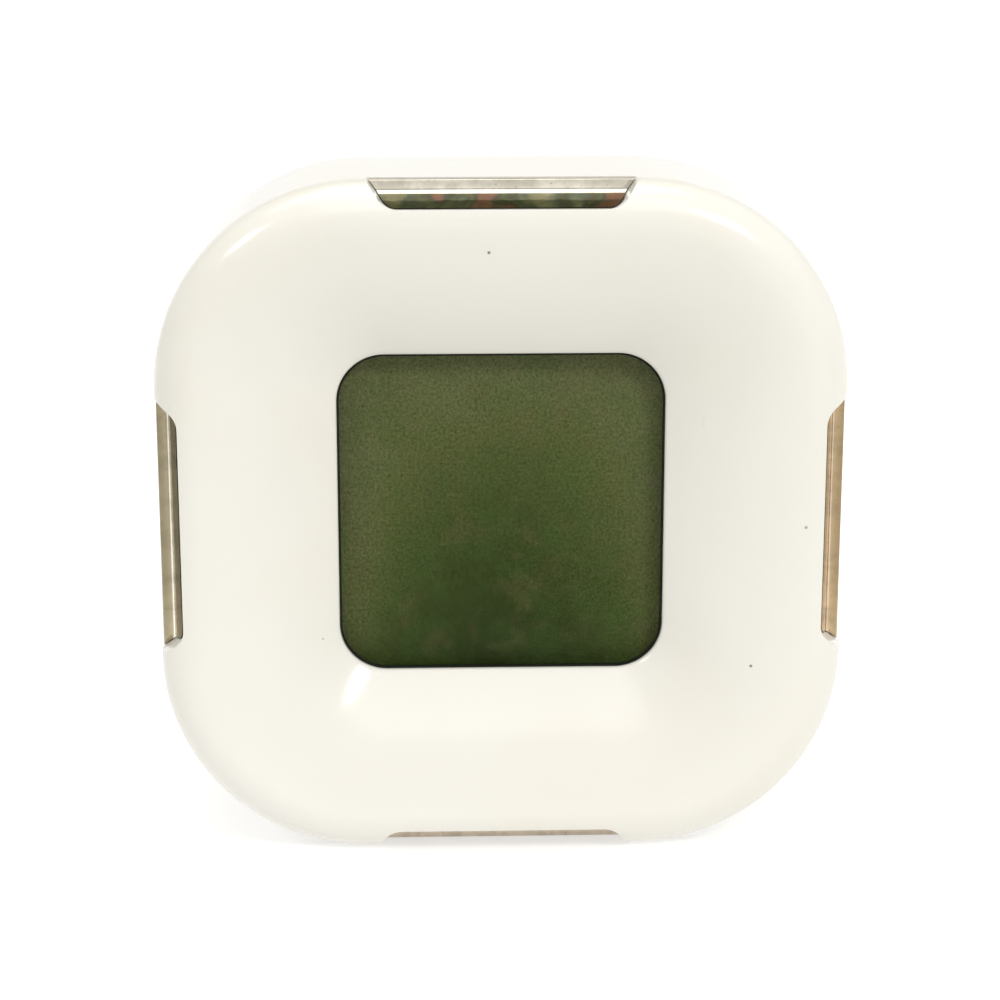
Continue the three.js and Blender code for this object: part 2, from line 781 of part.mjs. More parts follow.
// ---- Finishes ----
const finish = (color, roughness, metalness = 0, opacity = 1) =>
  new THREE.MeshStandardMaterial({ color, roughness, metalness, opacity, transparent: opacity < 1 });

const casing = finish("#f4f1e8", 0.18);
const mirror = finish("#cfcbc0", 0.05, 1);
const clearPlastic = finish("#e8efe6", 0.05, 0, 0.25);
const glass = finish("#a9b49a", 0.05, 0, 0.5);
const polariser = finish("#4c5a2e", 0.35);
const film = finish("#8a8f70", 0.4);
const whitePlastic = finish("#e9e9e4", 0.5);
const blackPlastic = finish("#1c1c1e", 0.5);
const rubber = finish("#d9a2a0", 0.7);
const boardGreen = finish("#2c5a34", 0.5);
const steel = finish("#b9bcc0", 0.3, 1);
const lamp = finish("#f3ead0", 0.3);
const cellJacket = finish("#37506b", 0.35);
const foam = finish("#3a3a3a", 0.95);
const redLead = finish("#b02a22", 0.45);
const blackLead = finish("#222222", 0.45);

// ---- Assembly ----
const clock = new THREE.Group();
// From the case frame to the footprint's middle: half-way from the crest to the button caps.
const middleY = (backY + buttonProud - rimDepth) / 2;
clock.position.set(0, -middleY, caseHalf);

function place(name, made, material, x = 0, y = 0, z = 0) {
  const mesh = new THREE.Mesh(geometryOf(made), material);
  mesh.name = name;
  mesh.position.set(x, y, z);
  clock.add(mesh);
  return mesh;
}

place("front_shell", frontShell(), casing);
place("rear_shell", rearShell(), casing);
place("battery_door", batteryDoor(), casing);
place("battery_pad", batteryPad(), foam);
["top", "right", "bottom", "left"].forEach((side, i) => {
  place(`trim_${side}`, trim(), mirror).rotation.y = (i * Math.PI) / 2;
});

place("display_gasket", displayGasket(), blackPlastic);
place("display_lens", roundedPlate(lensHalf, windowCorner + lensOverlap, lensFront, lensBack), clearPlastic);
const polariserHalf = lensHalf - 0.2;
place(
  "front_polariser",
  slab(polariserHalf, polariserHalf, polariserFront, polariserFront + filmThickness),
  polariser,
);
place(
  "lcd_front_glass",
  slab(glassHalf, glassHalf, frontGlassFront, frontGlassFront + glassThickness),
  glass,
);
place("lcd_rear_glass", slab(glassHalf, rearGlassHalfZ, rearGlassFront, rearGlassFront + glassThickness), glass);
place("reflector_film", slab(glassHalf, rearGlassHalfZ, reflectorFront, reflectorFront + filmThickness), film);
place("light_guide", lightGuide(), clearPlastic);
place("lcd_frame", lcdFrame(), whitePlastic);
const stripZ = glassHalf - ledgeWidth / 2;
const strip = () =>
  slab(glassHalf - 0.5, stripThickness / 2, rearGlassFront + 0.05, boardFront - 0.05);
place("contact_strip_upper", strip(), rubber, 0, 0, stripZ);
place("contact_strip_lower", strip(), rubber, 0, 0, -stripZ);
const ledZ = -rearGlassHalfZ + ledWidth / 2;
place("backlight_led_left", backlightLed(), lamp, ledXs[0], 0, ledZ);
place("backlight_led_right", backlightLed(), lamp, ledXs[1], 0, ledZ);

place("circuit_board", circuitBoard(), boardGreen);
place("chip_cover", chipCover(), blackPlastic, -4, 0, bayZ);
place("crystal", crystal(), steel, 16, boardBack + 1.1, 7.6 - boardHalf);
place("capacitor", capacitor(), blackPlastic, -15, 0, 6.1 - boardHalf);
place("thermistor", thermistor(), blackPlastic, 14, 0, 3.1 - boardHalf);
place("buzzer", buzzer(), blackPlastic, 0, 0, buzzerZ);

place("tilt_housing", tiltHousing(), blackPlastic, 0, 0, tiltZ);
place("tilt_ball", tiltBall(), steel, 0, tiltFloorY + ballRadius + 0.05, tiltZ - ballTravel / 2);
const tiltCover = slab(tiltOuter, tiltOuter, tiltRimY + 0.05, tiltRimY + tiltLid);
place("tilt_lid", tiltCover, blackPlastic, 0, 0, tiltZ);

buttonNames.forEach((use, i) => {
  place(`switch_body_${use}`, switchBody(), blackPlastic, buttonXs[i], 0, buttonHeight);
  place(`switch_plunger_${use}`, switchPlunger(), whitePlastic, buttonXs[i], 0, buttonHeight);
  place(`button_${use}`, button(), casing, buttonXs[i], 0, buttonHeight);
});

// The upper cell's nub is at -X and the lower cell's at +X.
const cellShift = bayHalfX - 0.15 - terminalThickness - 0.1 - cellLength / 2;
place("battery_upper", cell(), cellJacket, -cellShift, cellAxisY, bayZ + cellOffset).rotation.z = Math.PI;
place("battery_lower", cell(), cellJacket, cellShift, cellAxisY, bayZ - cellOffset);
place("terminal_negative", terminal(), steel, 0, 0, bayZ + cellOffset);
place("terminal_positive", terminal(), steel, 0, 0, bayZ - cellOffset);
place("bridge_terminal", bridgeTerminal(), steel, 0, 0, bayZ);
const springX = bayHalfX - 0.15 - terminalThickness;
place("spring_negative", spring(), steel, springX, cellAxisY, bayZ + cellOffset);
place("spring_bridge", spring(), steel, -springX, cellAxisY, bayZ - cellOffset).rotation.z = Math.PI;
place("lead_black", lead(1), blackLead, 0, 0, bayZ + cellOffset);
place("lead_red", lead(-1), redLead, 0, 0, bayZ - cellOffset);

corners.forEach(([sx, sz], i) => {
  const caseScrew = screw(headRadius, 1.8, shankRadius, screwLength);
  place(`case_screw_${i + 1}`, caseScrew, steel, sx * postAt, screwSeat, sz * postAt);
  const boardScrew = screw(boardHeadRadius, 1.2, 0.9, 6);
  place(`board_screw_${i + 1}`, boardScrew, steel, sx * bossX, boardBack, bossZ(sz));
});

export default clock;
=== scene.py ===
import math

import bmesh
import bpy
from mathutils import Matrix, Vector


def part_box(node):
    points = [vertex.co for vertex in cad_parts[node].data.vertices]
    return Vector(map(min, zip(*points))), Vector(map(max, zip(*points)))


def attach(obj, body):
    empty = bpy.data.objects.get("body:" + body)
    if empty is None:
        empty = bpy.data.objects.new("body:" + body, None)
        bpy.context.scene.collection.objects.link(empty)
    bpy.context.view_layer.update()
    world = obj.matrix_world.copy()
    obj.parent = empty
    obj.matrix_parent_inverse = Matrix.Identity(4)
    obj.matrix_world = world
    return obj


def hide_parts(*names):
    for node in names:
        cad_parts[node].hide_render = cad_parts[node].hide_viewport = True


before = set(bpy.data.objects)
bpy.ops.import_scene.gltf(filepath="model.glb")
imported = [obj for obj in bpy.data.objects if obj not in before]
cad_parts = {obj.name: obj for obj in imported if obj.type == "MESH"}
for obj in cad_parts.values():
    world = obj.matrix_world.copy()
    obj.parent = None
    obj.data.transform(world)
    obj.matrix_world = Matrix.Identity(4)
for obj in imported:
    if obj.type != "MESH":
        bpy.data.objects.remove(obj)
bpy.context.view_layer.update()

# ---- Front shell ----
# The dished bezel of the clock, moulded in glossy white ABS in one shot with the collar that holds
# the lens. A notch is cut through its rim in the middle of each side, and four posts inside it
# take the screws from the back. Lengths are millimetres from the seam, at the middle of the case.
shell_low, shell_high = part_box("front_shell")
case_half = 500 * (shell_high.x - shell_low.x)
rim_depth = 4.3
rim_width = 4.7
shell_wall = 2.0
case_corner = 24.1
window_half = 19.2
window_corner = 5.6
window_sink = 3.2
dish_power = 1.6
lip_back = window_sink + 0.8
crest_half = case_half - rim_width
side_straight = case_half - case_corner
seam = Vector((0, shell_low.y + rim_depth / 1000, (shell_low.z + shell_high.z) / 2))
case_to_frame = Matrix.Translation(seam) @ Matrix.Scale(0.001, 4)
corner_signs = [(1, 1), (-1, 1), (-1, -1), (1, -1)]


def rounded_square(half, straight, y):
    """A ring of points at one depth: a square of that half size, with arcs beyond its straight part."""
    corner_steps, side_steps = 20, 12
    ring = []
    for quarter, (sx, sz) in enumerate(corner_signs):
        for i in range(corner_steps + 1):
            angle = (quarter + i / corner_steps) * math.pi / 2
            across = sx * straight + (half - straight) * math.cos(angle)
            up = sz * straight + (half - straight) * math.sin(angle)
            ring.append(Vector((across, y, up)))
        start = ring[-1]
        next_sx, next_sz = corner_signs[(quarter + 1) % 4]
        angle = (quarter + 1) * math.pi / 2
        across = next_sx * straight + (half - straight) * math.cos(angle)
        end = Vector((across, y, next_sz * straight + (half - straight) * math.sin(angle)))
        ring += [start.lerp(end, i / side_steps) for i in range(1, side_steps)]
    return ring


def loft(rings, closes_on_itself=False):
    """Joins rings of points into one closed skin, as a ring of rings or with flat ends."""
    skin = bmesh.new()
    rows = [[skin.verts.new(point) for point in ring] for ring in rings]
    count = len(rows[0])
    for r in range(len(rows) if closes_on_itself else len(rows) - 1):
        here, there = rows[r], rows[(r + 1) % len(rows)]
        for i in range(count):
            j = (i + 1) % count
            skin.faces.new((here[i], here[j], there[j], there[i]))
    if not closes_on_itself:
        skin.faces.new(rows[0])
        skin.faces.new(reversed(rows[-1]))
    bmesh.ops.recalc_face_normals(skin, faces=skin.faces)
    return skin


def turned(profile, x=0, z=0, sides=48):
    """A solid turned about a line along Y, from [radius, y] points that start and end on that line."""
    skin = bmesh.new()
    rows = []
    for radius, y in profile:
        if radius == 0:
            rows.append([skin.verts.new((x, y, z))] * sides)
            continue
        angles = [2 * math.pi * i / sides for i in range(sides)]
        ring = [(x + radius * math.cos(a), y, z + radius * math.sin(a)) for a in angles]
        rows.append([skin.verts.new(point) for point in ring])
    for here, there in zip(rows, rows[1:]):
        for i in range(sides):
            j = (i + 1) % sides
            corners = [here[i], here[j], there[j], there[i]]
            skin.faces.new([v for n, v in enumerate(corners) if v not in corners[:n]])
    bmesh.ops.recalc_face_normals(skin, faces=skin.faces)
    return skin


def rounded_corners(points, radii, steps=8):
    """A polygon with each corner rounded to its own radius."""
    made = []
    for i, (corner, radius) in enumerate(zip(points, radii)):
        corner = Vector(corner)
        if not radius:
            made.append(corner)
            continue
        before = (Vector(points[i - 1]) - corner).normalized()
        after = (Vector(points[(i + 1) % len(points)]) - corner).normalized()
        half_angle = before.angle(after) / 2
        centre = corner + (before + after).normalized() * radius / math.sin(half_angle)
        start = corner + before * radius / math.tan(half_angle) - centre
        end = corner + after * radius / math.tan(half_angle) - centre
        sweep = start.angle(end)
        for n in range(steps + 1):
            share = n / steps
            a, b = math.sin((1 - share) * sweep), math.sin(share * sweep)
            made.append(centre + (start * a + end * b) / math.sin(sweep))
    return made


def prism(outline, y0, y1):
    """A solid along Y from an outline of (x, z) points."""
    return loft([[Vector((p[0], y, p[1])) for p in outline] for y in (y0, y1)])


def thing(name, skin):
    """An object that holds a skin."""
    mesh = bpy.data.meshes.new(name)
    skin.to_mesh(mesh)
    skin.free()
    made = bpy.data.objects.new(name, mesh)
    bpy.context.scene.collection.objects.link(made)
    return made


def combine(base, steps):
    """Takes steps in order, each DIFFERENCE, UNION or INTERSECT with a skin, which is used up."""
    tools = []
    for n, (operation, skin) in enumerate(steps):
        tools.append(thing(f"{base.name}_tool_{n}", skin))
        modifier = base.modifiers.new(f"step_{n}", "BOOLEAN")
        modifier.solver = "MANIFOLD"
        modifier.operation = operation
        modifier.object = tools[-1]
    keep_shape(base)
    for tool in tools:
        bpy.data.meshes.remove(tool.data)


def keep_shape(made):
    """Turns what the modifiers make into the object's own mesh."""
    bpy.context.view_layer.update()
    old = made.data
    evaluated = made.evaluated_get(bpy.context.evaluated_depsgraph_get())
    made.data = bpy.data.meshes.new_from_object(evaluated)
    made.modifiers.clear()
    bpy.data.meshes.remove(old)
    made.data.name = made.name


def soften_edges(made, width):
    """Rounds the edges where two faces turn by more than 50 degrees."""
    modifier = made.modifiers.new("edges", "BEVEL")
    modifier.limit_method = "ANGLE"
    modifier.angle_limit = math.radians(50)
    modifier.width = width
    modifier.segments = 2
    keep_shape(made)


def fit(made, material, body, slot, *nodes, sharp=38):
    """Shades a piece, brings it from the case into the frame and sets it on its body."""
    made.data.materials.clear()
    for one in material if isinstance(material, (list, tuple)) else [material]:
        made.data.materials.append(one)
    made.data.transform(case_to_frame)
    made.data.shade_smooth()
    made.data.set_sharp_from_angle(angle=math.radians(sharp))
    made.modifiers.new("flat_faces_stay_flat", "WEIGHTED_NORMAL").keep_sharp = True
    keep_shape(made)
    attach(made, body)
    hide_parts(*nodes)


class Value:
    """One output of a shader node. Arithmetic on it adds Math nodes."""

    def __init__(self, shader, socket):
        self.shader = shader
        self.socket = socket

    def math(self, operation, *terms):
        return self.shader.node("Math", {"operation": operation}, dict(enumerate(terms)))

    def __add__(self, other):
        return self.math("ADD", self, other)

    def __sub__(self, other):
        return self.math("SUBTRACT", self, other)

    def __rsub__(self, other):
        return self.math("SUBTRACT", other, self)

    def __mul__(self, other):
        return self.math("MULTIPLY", self, other)

    def __truediv__(self, other):
        return self.math("DIVIDE", self, other)

    def __pow__(self, other):
        return self.math("POWER", self, other)

    def __abs__(self):
        return self.math("ABSOLUTE", self)

    __radd__ = __add__

    def ramp(self, low, high):
        """0 below low, 1 above high, and smooth between."""
        inputs = {"Value": self, "From Min": low, "From Max": high}
        return self.shader.node("MapRange", {"interpolation_type": "SMOOTHSTEP"}, inputs)

    def part(self, axis):
        """One coordinate of a vector, 0 to 2."""
        return self.shader.node("SeparateXYZ", {}, {0: self}, axis)


class Shader:
    """A material under construction, on its own Principled BSDF, or a world on its Background."""

    def __init__(self, name, world=None, **constants):
        self.material = world or bpy.data.materials.new(name)
        self.material.use_nodes = True
        self.tree = self.material.node_tree
        self.surface = self.tree.nodes["Background" if world else "Principled BSDF"]
        for socket, value in constants.items():
            self.surface.inputs[socket.replace("_", " ")].default_value = value
        self.place = self.node("TexCoord", {}, {}, "Generated" if world else "Object")

    def connect(self, node, inputs):
        for socket, value in inputs.items():
            target = node.inputs[socket]
            if isinstance(value, Value):
                self.tree.links.new(value.socket, target)
            elif hasattr(target.default_value, "__len__") and len(target.default_value) == 4:
                target.default_value = (*value, 1)[:4]
            else:
                target.default_value = value

    def node(self, kind, settings, inputs, output=0):
        """Any shader node, by its type, its settings and its sockets' values or links."""
        made = self.tree.nodes.new("ShaderNode" + kind)
        for setting, value in settings.items():
            if setting == "stops":
                elements = made.color_ramp.elements
                while len(elements) < len(value):
                    elements.new(1)
                for element, (position, color) in zip(elements, value):
                    element.position = position
                    element.color = (*color, 1)
            else:
                setattr(made, setting, value)
        self.connect(made, inputs)
        return Value(self, made.outputs[output])

    def noise(self, size, detail, roughness=0.5, stretch=(1, 1, 1), shift=0.0):
        """Cloudy noise from 0 to 1, with features of about that size in millimetres."""
        where = self.place
        if stretch != (1, 1, 1) or shift:
            scale = {"Vector": where, "Scale": stretch, "Location": (shift,) * 3}
            where = self.node("Mapping", {}, scale)
        inputs = {"Vector": where, "Scale": 1000 / size, "Detail": detail, "Roughness": roughness}
        return self.node("TexNoise", {}, inputs)

    def mix(self, share, first, second):
        """One colour turning into another."""
        return self.node("Mix", {"data_type": "RGBA"}, {0: share, 6: first, 7: second}, 2)

    def spot(self, x, z, radius):
        """1 in a small round patch seen from the front, and 0 outside it."""
        point = case_to_frame @ Vector((x, 0, z))
        flat = self.node("VectorMath", {"operation": "MULTIPLY"}, {0: self.place, 1: (1, 0, 1)})
        inputs = {0: flat, 1: (point.x, 0, point.z)}
        distance = self.node("VectorMath", {"operation": "DISTANCE"}, inputs, "Value")
        return 1 - distance.ramp(radius * 0.0005, radius * 0.001)

    def bump(self, height, depth, strength=1.0):
        """A normal pushed by a height from 0 to 1 that is worth depth millimetres."""
        return self.node("Bump", {}, {"Height": height, "Distance": depth / 1000, "Strength": strength})

    def done(self, **inputs):
        named = {socket.replace("_", " "): value for socket, value in inputs.items()}
        self.connect(self.surface, named)
        return self.material


def glossy_abs(name, tone, specks=()):
    """Polished white ABS: faint yellowing, soft wipe marks in the gloss, and specks of dust."""
    shader = Shader(name, IOR=1.5)
    cloud = shader.noise(26, 2)
    yellowed = [c * k for c, k in zip(tone, (0.985, 0.978, 0.955))]
    color = shader.mix(cloud.ramp(0.35, 0.7), tone, yellowed)
    flecks = shader.noise(0.5, 2, 0.6).ramp(0.7, 0.8) * shader.noise(9, 2).ramp(0.5, 0.7)
    color = shader.mix(flecks * 0.12, color, (0.45, 0.40, 0.32))
    for x, z, radius, dark in specks:
        color = shader.mix(shader.spot(x, z, radius) * dark, color, (0.13, 0.10, 0.06))
    wipes = shader.noise(2.2, 4, 0.65, (1, 1, 0.3)).ramp(0.45, 0.85)
    roughness = 0.13 + wipes * 0.05 + cloud * 0.04
    peel = shader.noise(1.6, 2)
    return shader.done(Base_Color=color, Roughness=roughness, Normal=shader.bump(peel, 0.006, 0.5))


def bezel_straight(half):
    """Half of a side's straight part on the ring of the bezel with this half size."""
    share = min(max((half - window_half) / (crest_half - window_half), 0), 1)
    return (window_half - window_corner) * (1 - share) + side_straight * share


def bezel_outside():
    """The bezel as [half size, y], from the seam over the crest and down the dish to the opening."""
    roll_steps, dish_steps = 18, 34
    profile = [(case_half - 0.09, 0), (case_half - 0.02, -0.04)]
    for i in range(1, roll_steps + 1):
        angle = i / roll_steps * math.pi / 2
        profile.append((crest_half + rim_width * math.cos(angle), -rim_depth * math.sin(angle)))
    for i in range(1, dish_steps):
        share = i / dish_steps
        half = crest_half + (window_half - crest_half) * share
        profile.append((half, -rim_depth + (window_sink + rim_depth) * share**dish_power))
    edge = [(0.26, -0.19), (0.12, -0.06), (0.03, 0.07), (0, 0.24)]
    return profile + [(window_half + out, window_sink + back) for out, back in edge]


def moved_in(profile, distance):
    """Each point of a profile moved square to it, into the wall."""
    moved = []
    for i, (half, y) in enumerate(profile):
        h0, y0 = profile[max(i - 1, 0)]
        h1, y1 = profile[min(i + 1, len(profile) - 1)]
        length = math.hypot(h1 - h0, y1 - y0)
        moved.append((half + distance * (y1 - y0) / length, y - distance * (h1 - h0) / length))
    return moved


# The notch in each side, for the upper one: leaning ends, round inner corners and a sloping floor.
notch_half = 15.3
notch_slope = 0.73
notch_corner = 2.4
trim_ledge_y, trim_ledge_z = 0.9, case_half - 0.15
trim_ledge_width = 1.35
trim_wall_run = 1.35
trim_corner_z = trim_ledge_z - trim_ledge_width
trim_front_z = trim_corner_z - trim_wall_run
trim_thickness = 0.9
trim_gap = 0.15
trim_back_y = trim_ledge_y + trim_thickness
trim_front_y = -rim_depth * math.sqrt(1 - ((trim_front_z - crest_half) / rim_width) ** 2)
trim_lean = math.atan2(trim_corner_z - trim_front_z, trim_ledge_y - trim_front_y)


def wall_back_z(distance, y):
    """Height of a plane behind the face of the trim's wall."""
    return trim_front_z + (y - trim_front_y) * math.tan(trim_lean) - distance / math.cos(trim_lean)


def notch_prism(margin):
    """The notch seen from the front, grown by a margin."""
    top_z, bottom_z = case_half + 2, trim_front_z - margin
    wide = notch_half + 2 * notch_slope + margin
    narrow = notch_half - (case_half - bottom_z) * notch_slope + margin
    corners = [(-wide, top_z), (-narrow, bottom_z), (narrow, bottom_z), (wide, top_z)]
    return prism(rounded_corners(corners, [0, notch_corner, notch_corner, 0], 14), -10, 10)


def trim_room(quarter):
    """Room for the trim of one side."""
    room = notch_prism(0)
    under_wall = Vector((0, 0, wall_back_z(trim_thickness + trim_gap, 0)))
    below = Vector((0, math.sin(trim_lean), -math.cos(trim_lean)))
    behind_ledge = Vector((0, trim_back_y + trim_gap, 0))
    for point, outward in ((under_wall, below), (behind_ledge, Vector((0, 1, 0)))):
        parts = room.verts[:] + room.edges[:] + room.faces[:]
        bmesh.ops.bisect_plane(room, geom=parts, plane_co=point, plane_no=outward, clear_outer=True)
        bmesh.ops.holes_fill(room, edges=[e for e in room.edges if e.is_boundary])
    bmesh.ops.rotate(room, verts=room.verts, matrix=Matrix.Rotation(quarter * math.pi / 2, 3, "Y"))
    bmesh.ops.recalc_face_normals(room, faces=room.faces)
    return room


lens_back = 5.3
collar_inner, collar_outer = 20.85, 22.6
collar_back = lens_back + 0.1
bezel_section = bezel_outside()
bezel_inside = [p for p in moved_in(bezel_section, shell_wall)[2:] if p[0] > collar_outer + 0.4]
bezel_section += [
    (window_half, lip_back),
    (collar_inner, lip_back),
    (collar_inner, collar_back),
    (collar_outer, collar_back),
    (collar_outer, bezel_inside[-1][1] + 0.5),
    *reversed(bezel_inside),
    (case_half - shell_wall, 0),
]
front_rings = [rounded_square(half, bezel_straight(half), y) for half, y in bezel_section]
front_shell = thing("bezel", loft(front_rings, True))
post_at, post_radius, post_foot, post_joint = 29.23, 3, -3.2, 8
pilot_radius, pilot_end = 1.45, 1
boss_x, boss_zs = 25.6, {1: 11.6, -1: -18}
boss_radius, boss_foot, boss_back = 2.2, 0.2, 11.9
boss_hole, boss_hole_end = 1, 5
front_steps = []
for sx, sz in corner_signs:
    post = [(0, post_foot), (post_radius, post_foot), (post_radius, post_joint)]
    post += [(pilot_radius, post_joint), (pilot_radius, pilot_end), (0, pilot_end)]
    boss = [(0, boss_foot), (boss_radius, boss_foot), (boss_radius, boss_back)]
    boss += [(boss_hole, boss_back), (boss_hole, boss_hole_end), (0, boss_hole_end)]
    front_steps.append(("UNION", turned(post, sx * post_at, sz * post_at, 32)))
    front_steps.append(("UNION", turned(boss, sx * boss_x, boss_zs[sz], 32)))
front_steps += [("DIFFERENCE", trim_room(quarter)) for quarter in range(4)]
combine(front_shell, front_steps)
soften_edges(front_shell, 0.1)
case_white = (0.745, 0.727, 0.676)
# Specks of dust, each with its place across and up, its radius and how dark it is.
bezel_specks = [
    (-1.6, 32.3, 0.24, 0.85),
    (-21.2, -14.8, 0.16, 0.5),
    (29.2, -17.2, 0.22, 0.85),
    (35.0, 0.1, 0.24, 0.6),
]
fit(front_shell, glossy_abs("bezel_abs", case_white, bezel_specks), "case", "casing", "front_shell")

# ---- Rear shell ----
# The deep back of the case, in the same glossy white ABS. Its flat sides carry the clock on a shelf.
# It holds the battery bay, the sleeves of four buttons, a row of sound holes, and in the corners the
# sunk posts through which it is screwed to the front.
rear_white = [0.99 * c for c in case_white]
seam_gap = 0.25
side_land = 18.0
back_round = 12.0
back_y = 30.3
back_half = case_half - back_round
bay_half_x, bay_half_z, bay_z = 24.25, 11.2, -4.0
bay_front, bay_inside = 15.6, 16.6
bay_wall = 2.0
door_front = 28.5
door_gap = 0.15
door_half_x, door_half_z = bay_half_x + 1.1, bay_half_z + 1.1
button_xs = {"set": -18.75, "down": -6.25, "up": 6.25, "unit": 18.75}
button_z = 17.0
button_radius = 3.25
flange_radius = 4.3
running_gap = 0.2
sleeve_wall, sleeve_length = 1.2, 5
vent_z, vent_pitch, vent_radius = -22.8, 3.0, 0.7
screw_seat, clearance_radius, head_room = 15.5, 1.6, 2.8
hook_xs, hook_half, hook_tip_z = (-15, 15), 3.0, bay_z + door_half_z + 1.5
hook_gap = 0.3
past_back = back_y + 1.7


def rear_skin(inset):
    """The outside of the rear shell, or the hollow of it moved in by a wall."""
    start = -5 if inset else seam_gap
    half = case_half - inset
    profile = [(half, start)] if inset else [(half - 0.2, start), (half - 0.05, start + 0.08)]
    profile += [(half, start + 0.3 + (side_land - start - 0.3) * i / 14) for i in range(14)]
    for i in range(27):
        angle = i / 26 * math.pi / 2
        out = back_half + (back_round - inset) * math.cos(angle)
        profile.append((out, side_land + (back_y - side_land - inset) * math.sin(angle)))
    return loft([rounded_square(out, side_straight, y) for out, y in profile])


def plate(half_x, half_z, y0, y1, x, z, corner=0.5):
    """A plate across Y with rounded corners."""
    corners = [(x + sx * half_x, z + sz * half_z) for sx, sz in corner_signs]
    return prism(rounded_corners(corners, [corner] * 4, 6), y0, y1)


def skin_of(made):
    """An object's skin, with the object taken away."""
    skin = bmesh.new()
    skin.from_mesh(made.data)
    bpy.data.meshes.remove(made.data)
    return skin


rear_shell = thing("back", rear_skin(0))
tongue_out, tongue_in = case_half - shell_wall - 0.4, case_half - shell_wall - 1.5
tongue_tip = -0.8
tongue_section = [
    (tongue_out, tongue_tip),
    (tongue_out, seam_gap + 1),
    (case_half - shell_wall + 0.4, seam_gap + 1.8),
    (tongue_in, seam_gap + 2.6),
    (tongue_in, tongue_tip),
]
tongue_rings = [rounded_square(half, side_straight, y) for half, y in tongue_section]
tongue = thing("tongue", loft(tongue_rings, True))
tongue_cuts = []
post_room = post_radius + running_gap
for sx, sz in corner_signs:
    room = [(0, -2), (post_room, -2), (post_room, 3.25), (0, 3.25)]
    tongue_cuts.append(("DIFFERENCE", turned(room, sx * post_at, sz * post_at)))
for quarter in range(4):
    gap = plate(notch_half + 0.3, 4, -2, trim_back_y + trim_gap, 0, case_half - 0.5)
    bmesh.ops.rotate(gap, verts=gap.verts, matrix=Matrix.Rotation(quarter * math.pi / 2, 3, "Y"))
    tongue_cuts.append(("DIFFERENCE", gap))
combine(tongue, tongue_cuts)
rear_steps = [("DIFFERENCE", rear_skin(shell_wall)), ("UNION", skin_of(tongue))]
rear_steps += [("DIFFERENCE", trim_room(quarter)) for quarter in range(4)]
rear_post, rear_post_front = 3.8, post_joint + 0.2
for sx, sz in corner_signs:
    profile = [(0, rear_post_front), (rear_post, rear_post_front), (rear_post, back_y), (0, back_y)]
    post = thing("post", turned(profile, sx * post_at, sz * post_at))
    combine(post, [("INTERSECT", rear_skin(0))])
    rear_steps.append(("UNION", skin_of(post)))
sleeve_end = back_y - shell_wall - sleeve_length
for x in button_xs.values():
    sleeve = flange_radius + running_gap + sleeve_wall
    profile = [(0, sleeve_end), (sleeve, sleeve_end), (sleeve, back_y - 1), (0, back_y - 1)]
    rear_steps.append(("UNION", turned(profile, x, button_z)))
bay = plate(bay_half_x + bay_wall, bay_half_z + bay_wall, bay_front, back_y - 1, 0, bay_z, 2.0)
rear_steps.append(("UNION", bay))
for sx, sz in corner_signs:
    profile = [(0, 5), (clearance_radius, 5), (clearance_radius, screw_seat)]
    profile += [(head_room, screw_seat), (head_room, past_back), (0, past_back)]
    rear_steps.append(("DIFFERENCE", turned(profile, sx * post_at, sz * post_at, 56)))
for x in button_xs.values():
    hole, bore = button_radius + running_gap, flange_radius + running_gap
    profile = [(0, sleeve_end - 1), (bore, sleeve_end - 1), (bore, back_y - shell_wall)]
    profile += [(hole, back_y - shell_wall), (hole, back_y - 0.3), (hole + 0.3, back_y)]
    profile += [(hole + 0.3, past_back), (0, past_back)]
    rear_steps.append(("DIFFERENCE", turned(profile, x, button_z, 64)))
for i in range(-2, 3):
    vent_mouth = vent_radius + 0.15
    profile = [(0, back_y - 3), (vent_radius, back_y - 3), (vent_radius, back_y - 0.15)]
    profile += [(vent_mouth, back_y), (vent_mouth, past_back), (0, past_back)]
    rear_steps.append(("DIFFERENCE", turned(profile, vent_pitch * i, vent_z, 24)))
bay_room = plate(bay_half_x, bay_half_z, bay_inside, back_y + 1, 0, bay_z, 1.0)
door_room_x, door_room_z = door_half_x + door_gap, door_half_z + door_gap
door_room = plate(door_room_x, door_room_z, door_front - 0.1, back_y + 1, 0, bay_z, 1.5)
rear_steps += [("DIFFERENCE", bay_room), ("DIFFERENCE", door_room)]
hook_room_front, hook_room_back = 24.7, 28.3
for x in hook_xs:
    low = bay_z + bay_half_z - 1
    for high, back in ((bay_z + door_half_z, door_front), (hook_tip_z + 0.5, hook_room_back)):
        middle, half = (high + low) / 2, (high - low) / 2
        room = plate(hook_half + hook_gap, half, hook_room_front, back, x, middle, 0.2)
        rear_steps.append(("DIFFERENCE", room))
cell_offset = 5.45
for side in (-1, 1):
    tab_z = bay_z + side * cell_offset
    slot = plate(0.6, 1.4, bay_front - 1, bay_inside + 1, bay_half_x - 0.6, tab_z, 0.2)
    rear_steps.append(("DIFFERENCE", slot))
scoop = turned([(0, -6), (4.7, -6), (5, -5.7), (5, 5.7), (4.7, 6), (0, 6)], sides=96)
bmesh.ops.rotate(scoop, verts=scoop.verts, matrix=Matrix.Rotation(math.pi / 2, 3, "Z"))
bmesh.ops.translate(scoop, verts=scoop.verts, vec=(0, back_y + 3.7, bay_z - door_half_z - 0.6))
rear_steps.append(("DIFFERENCE", scoop))
for x in (-14, 0, 14):
    rear_steps.append(("UNION", plate(0.6, 0.9, bay_inside - 0.2, bay_inside + 1.2, x, bay_z, 0.4)))
combine(rear_shell, rear_steps)
soften_edges(rear_shell, 0.08)
fit(rear_shell, glossy_abs("back_abs", rear_white), "case", "casing", "rear_shell", sharp=32)

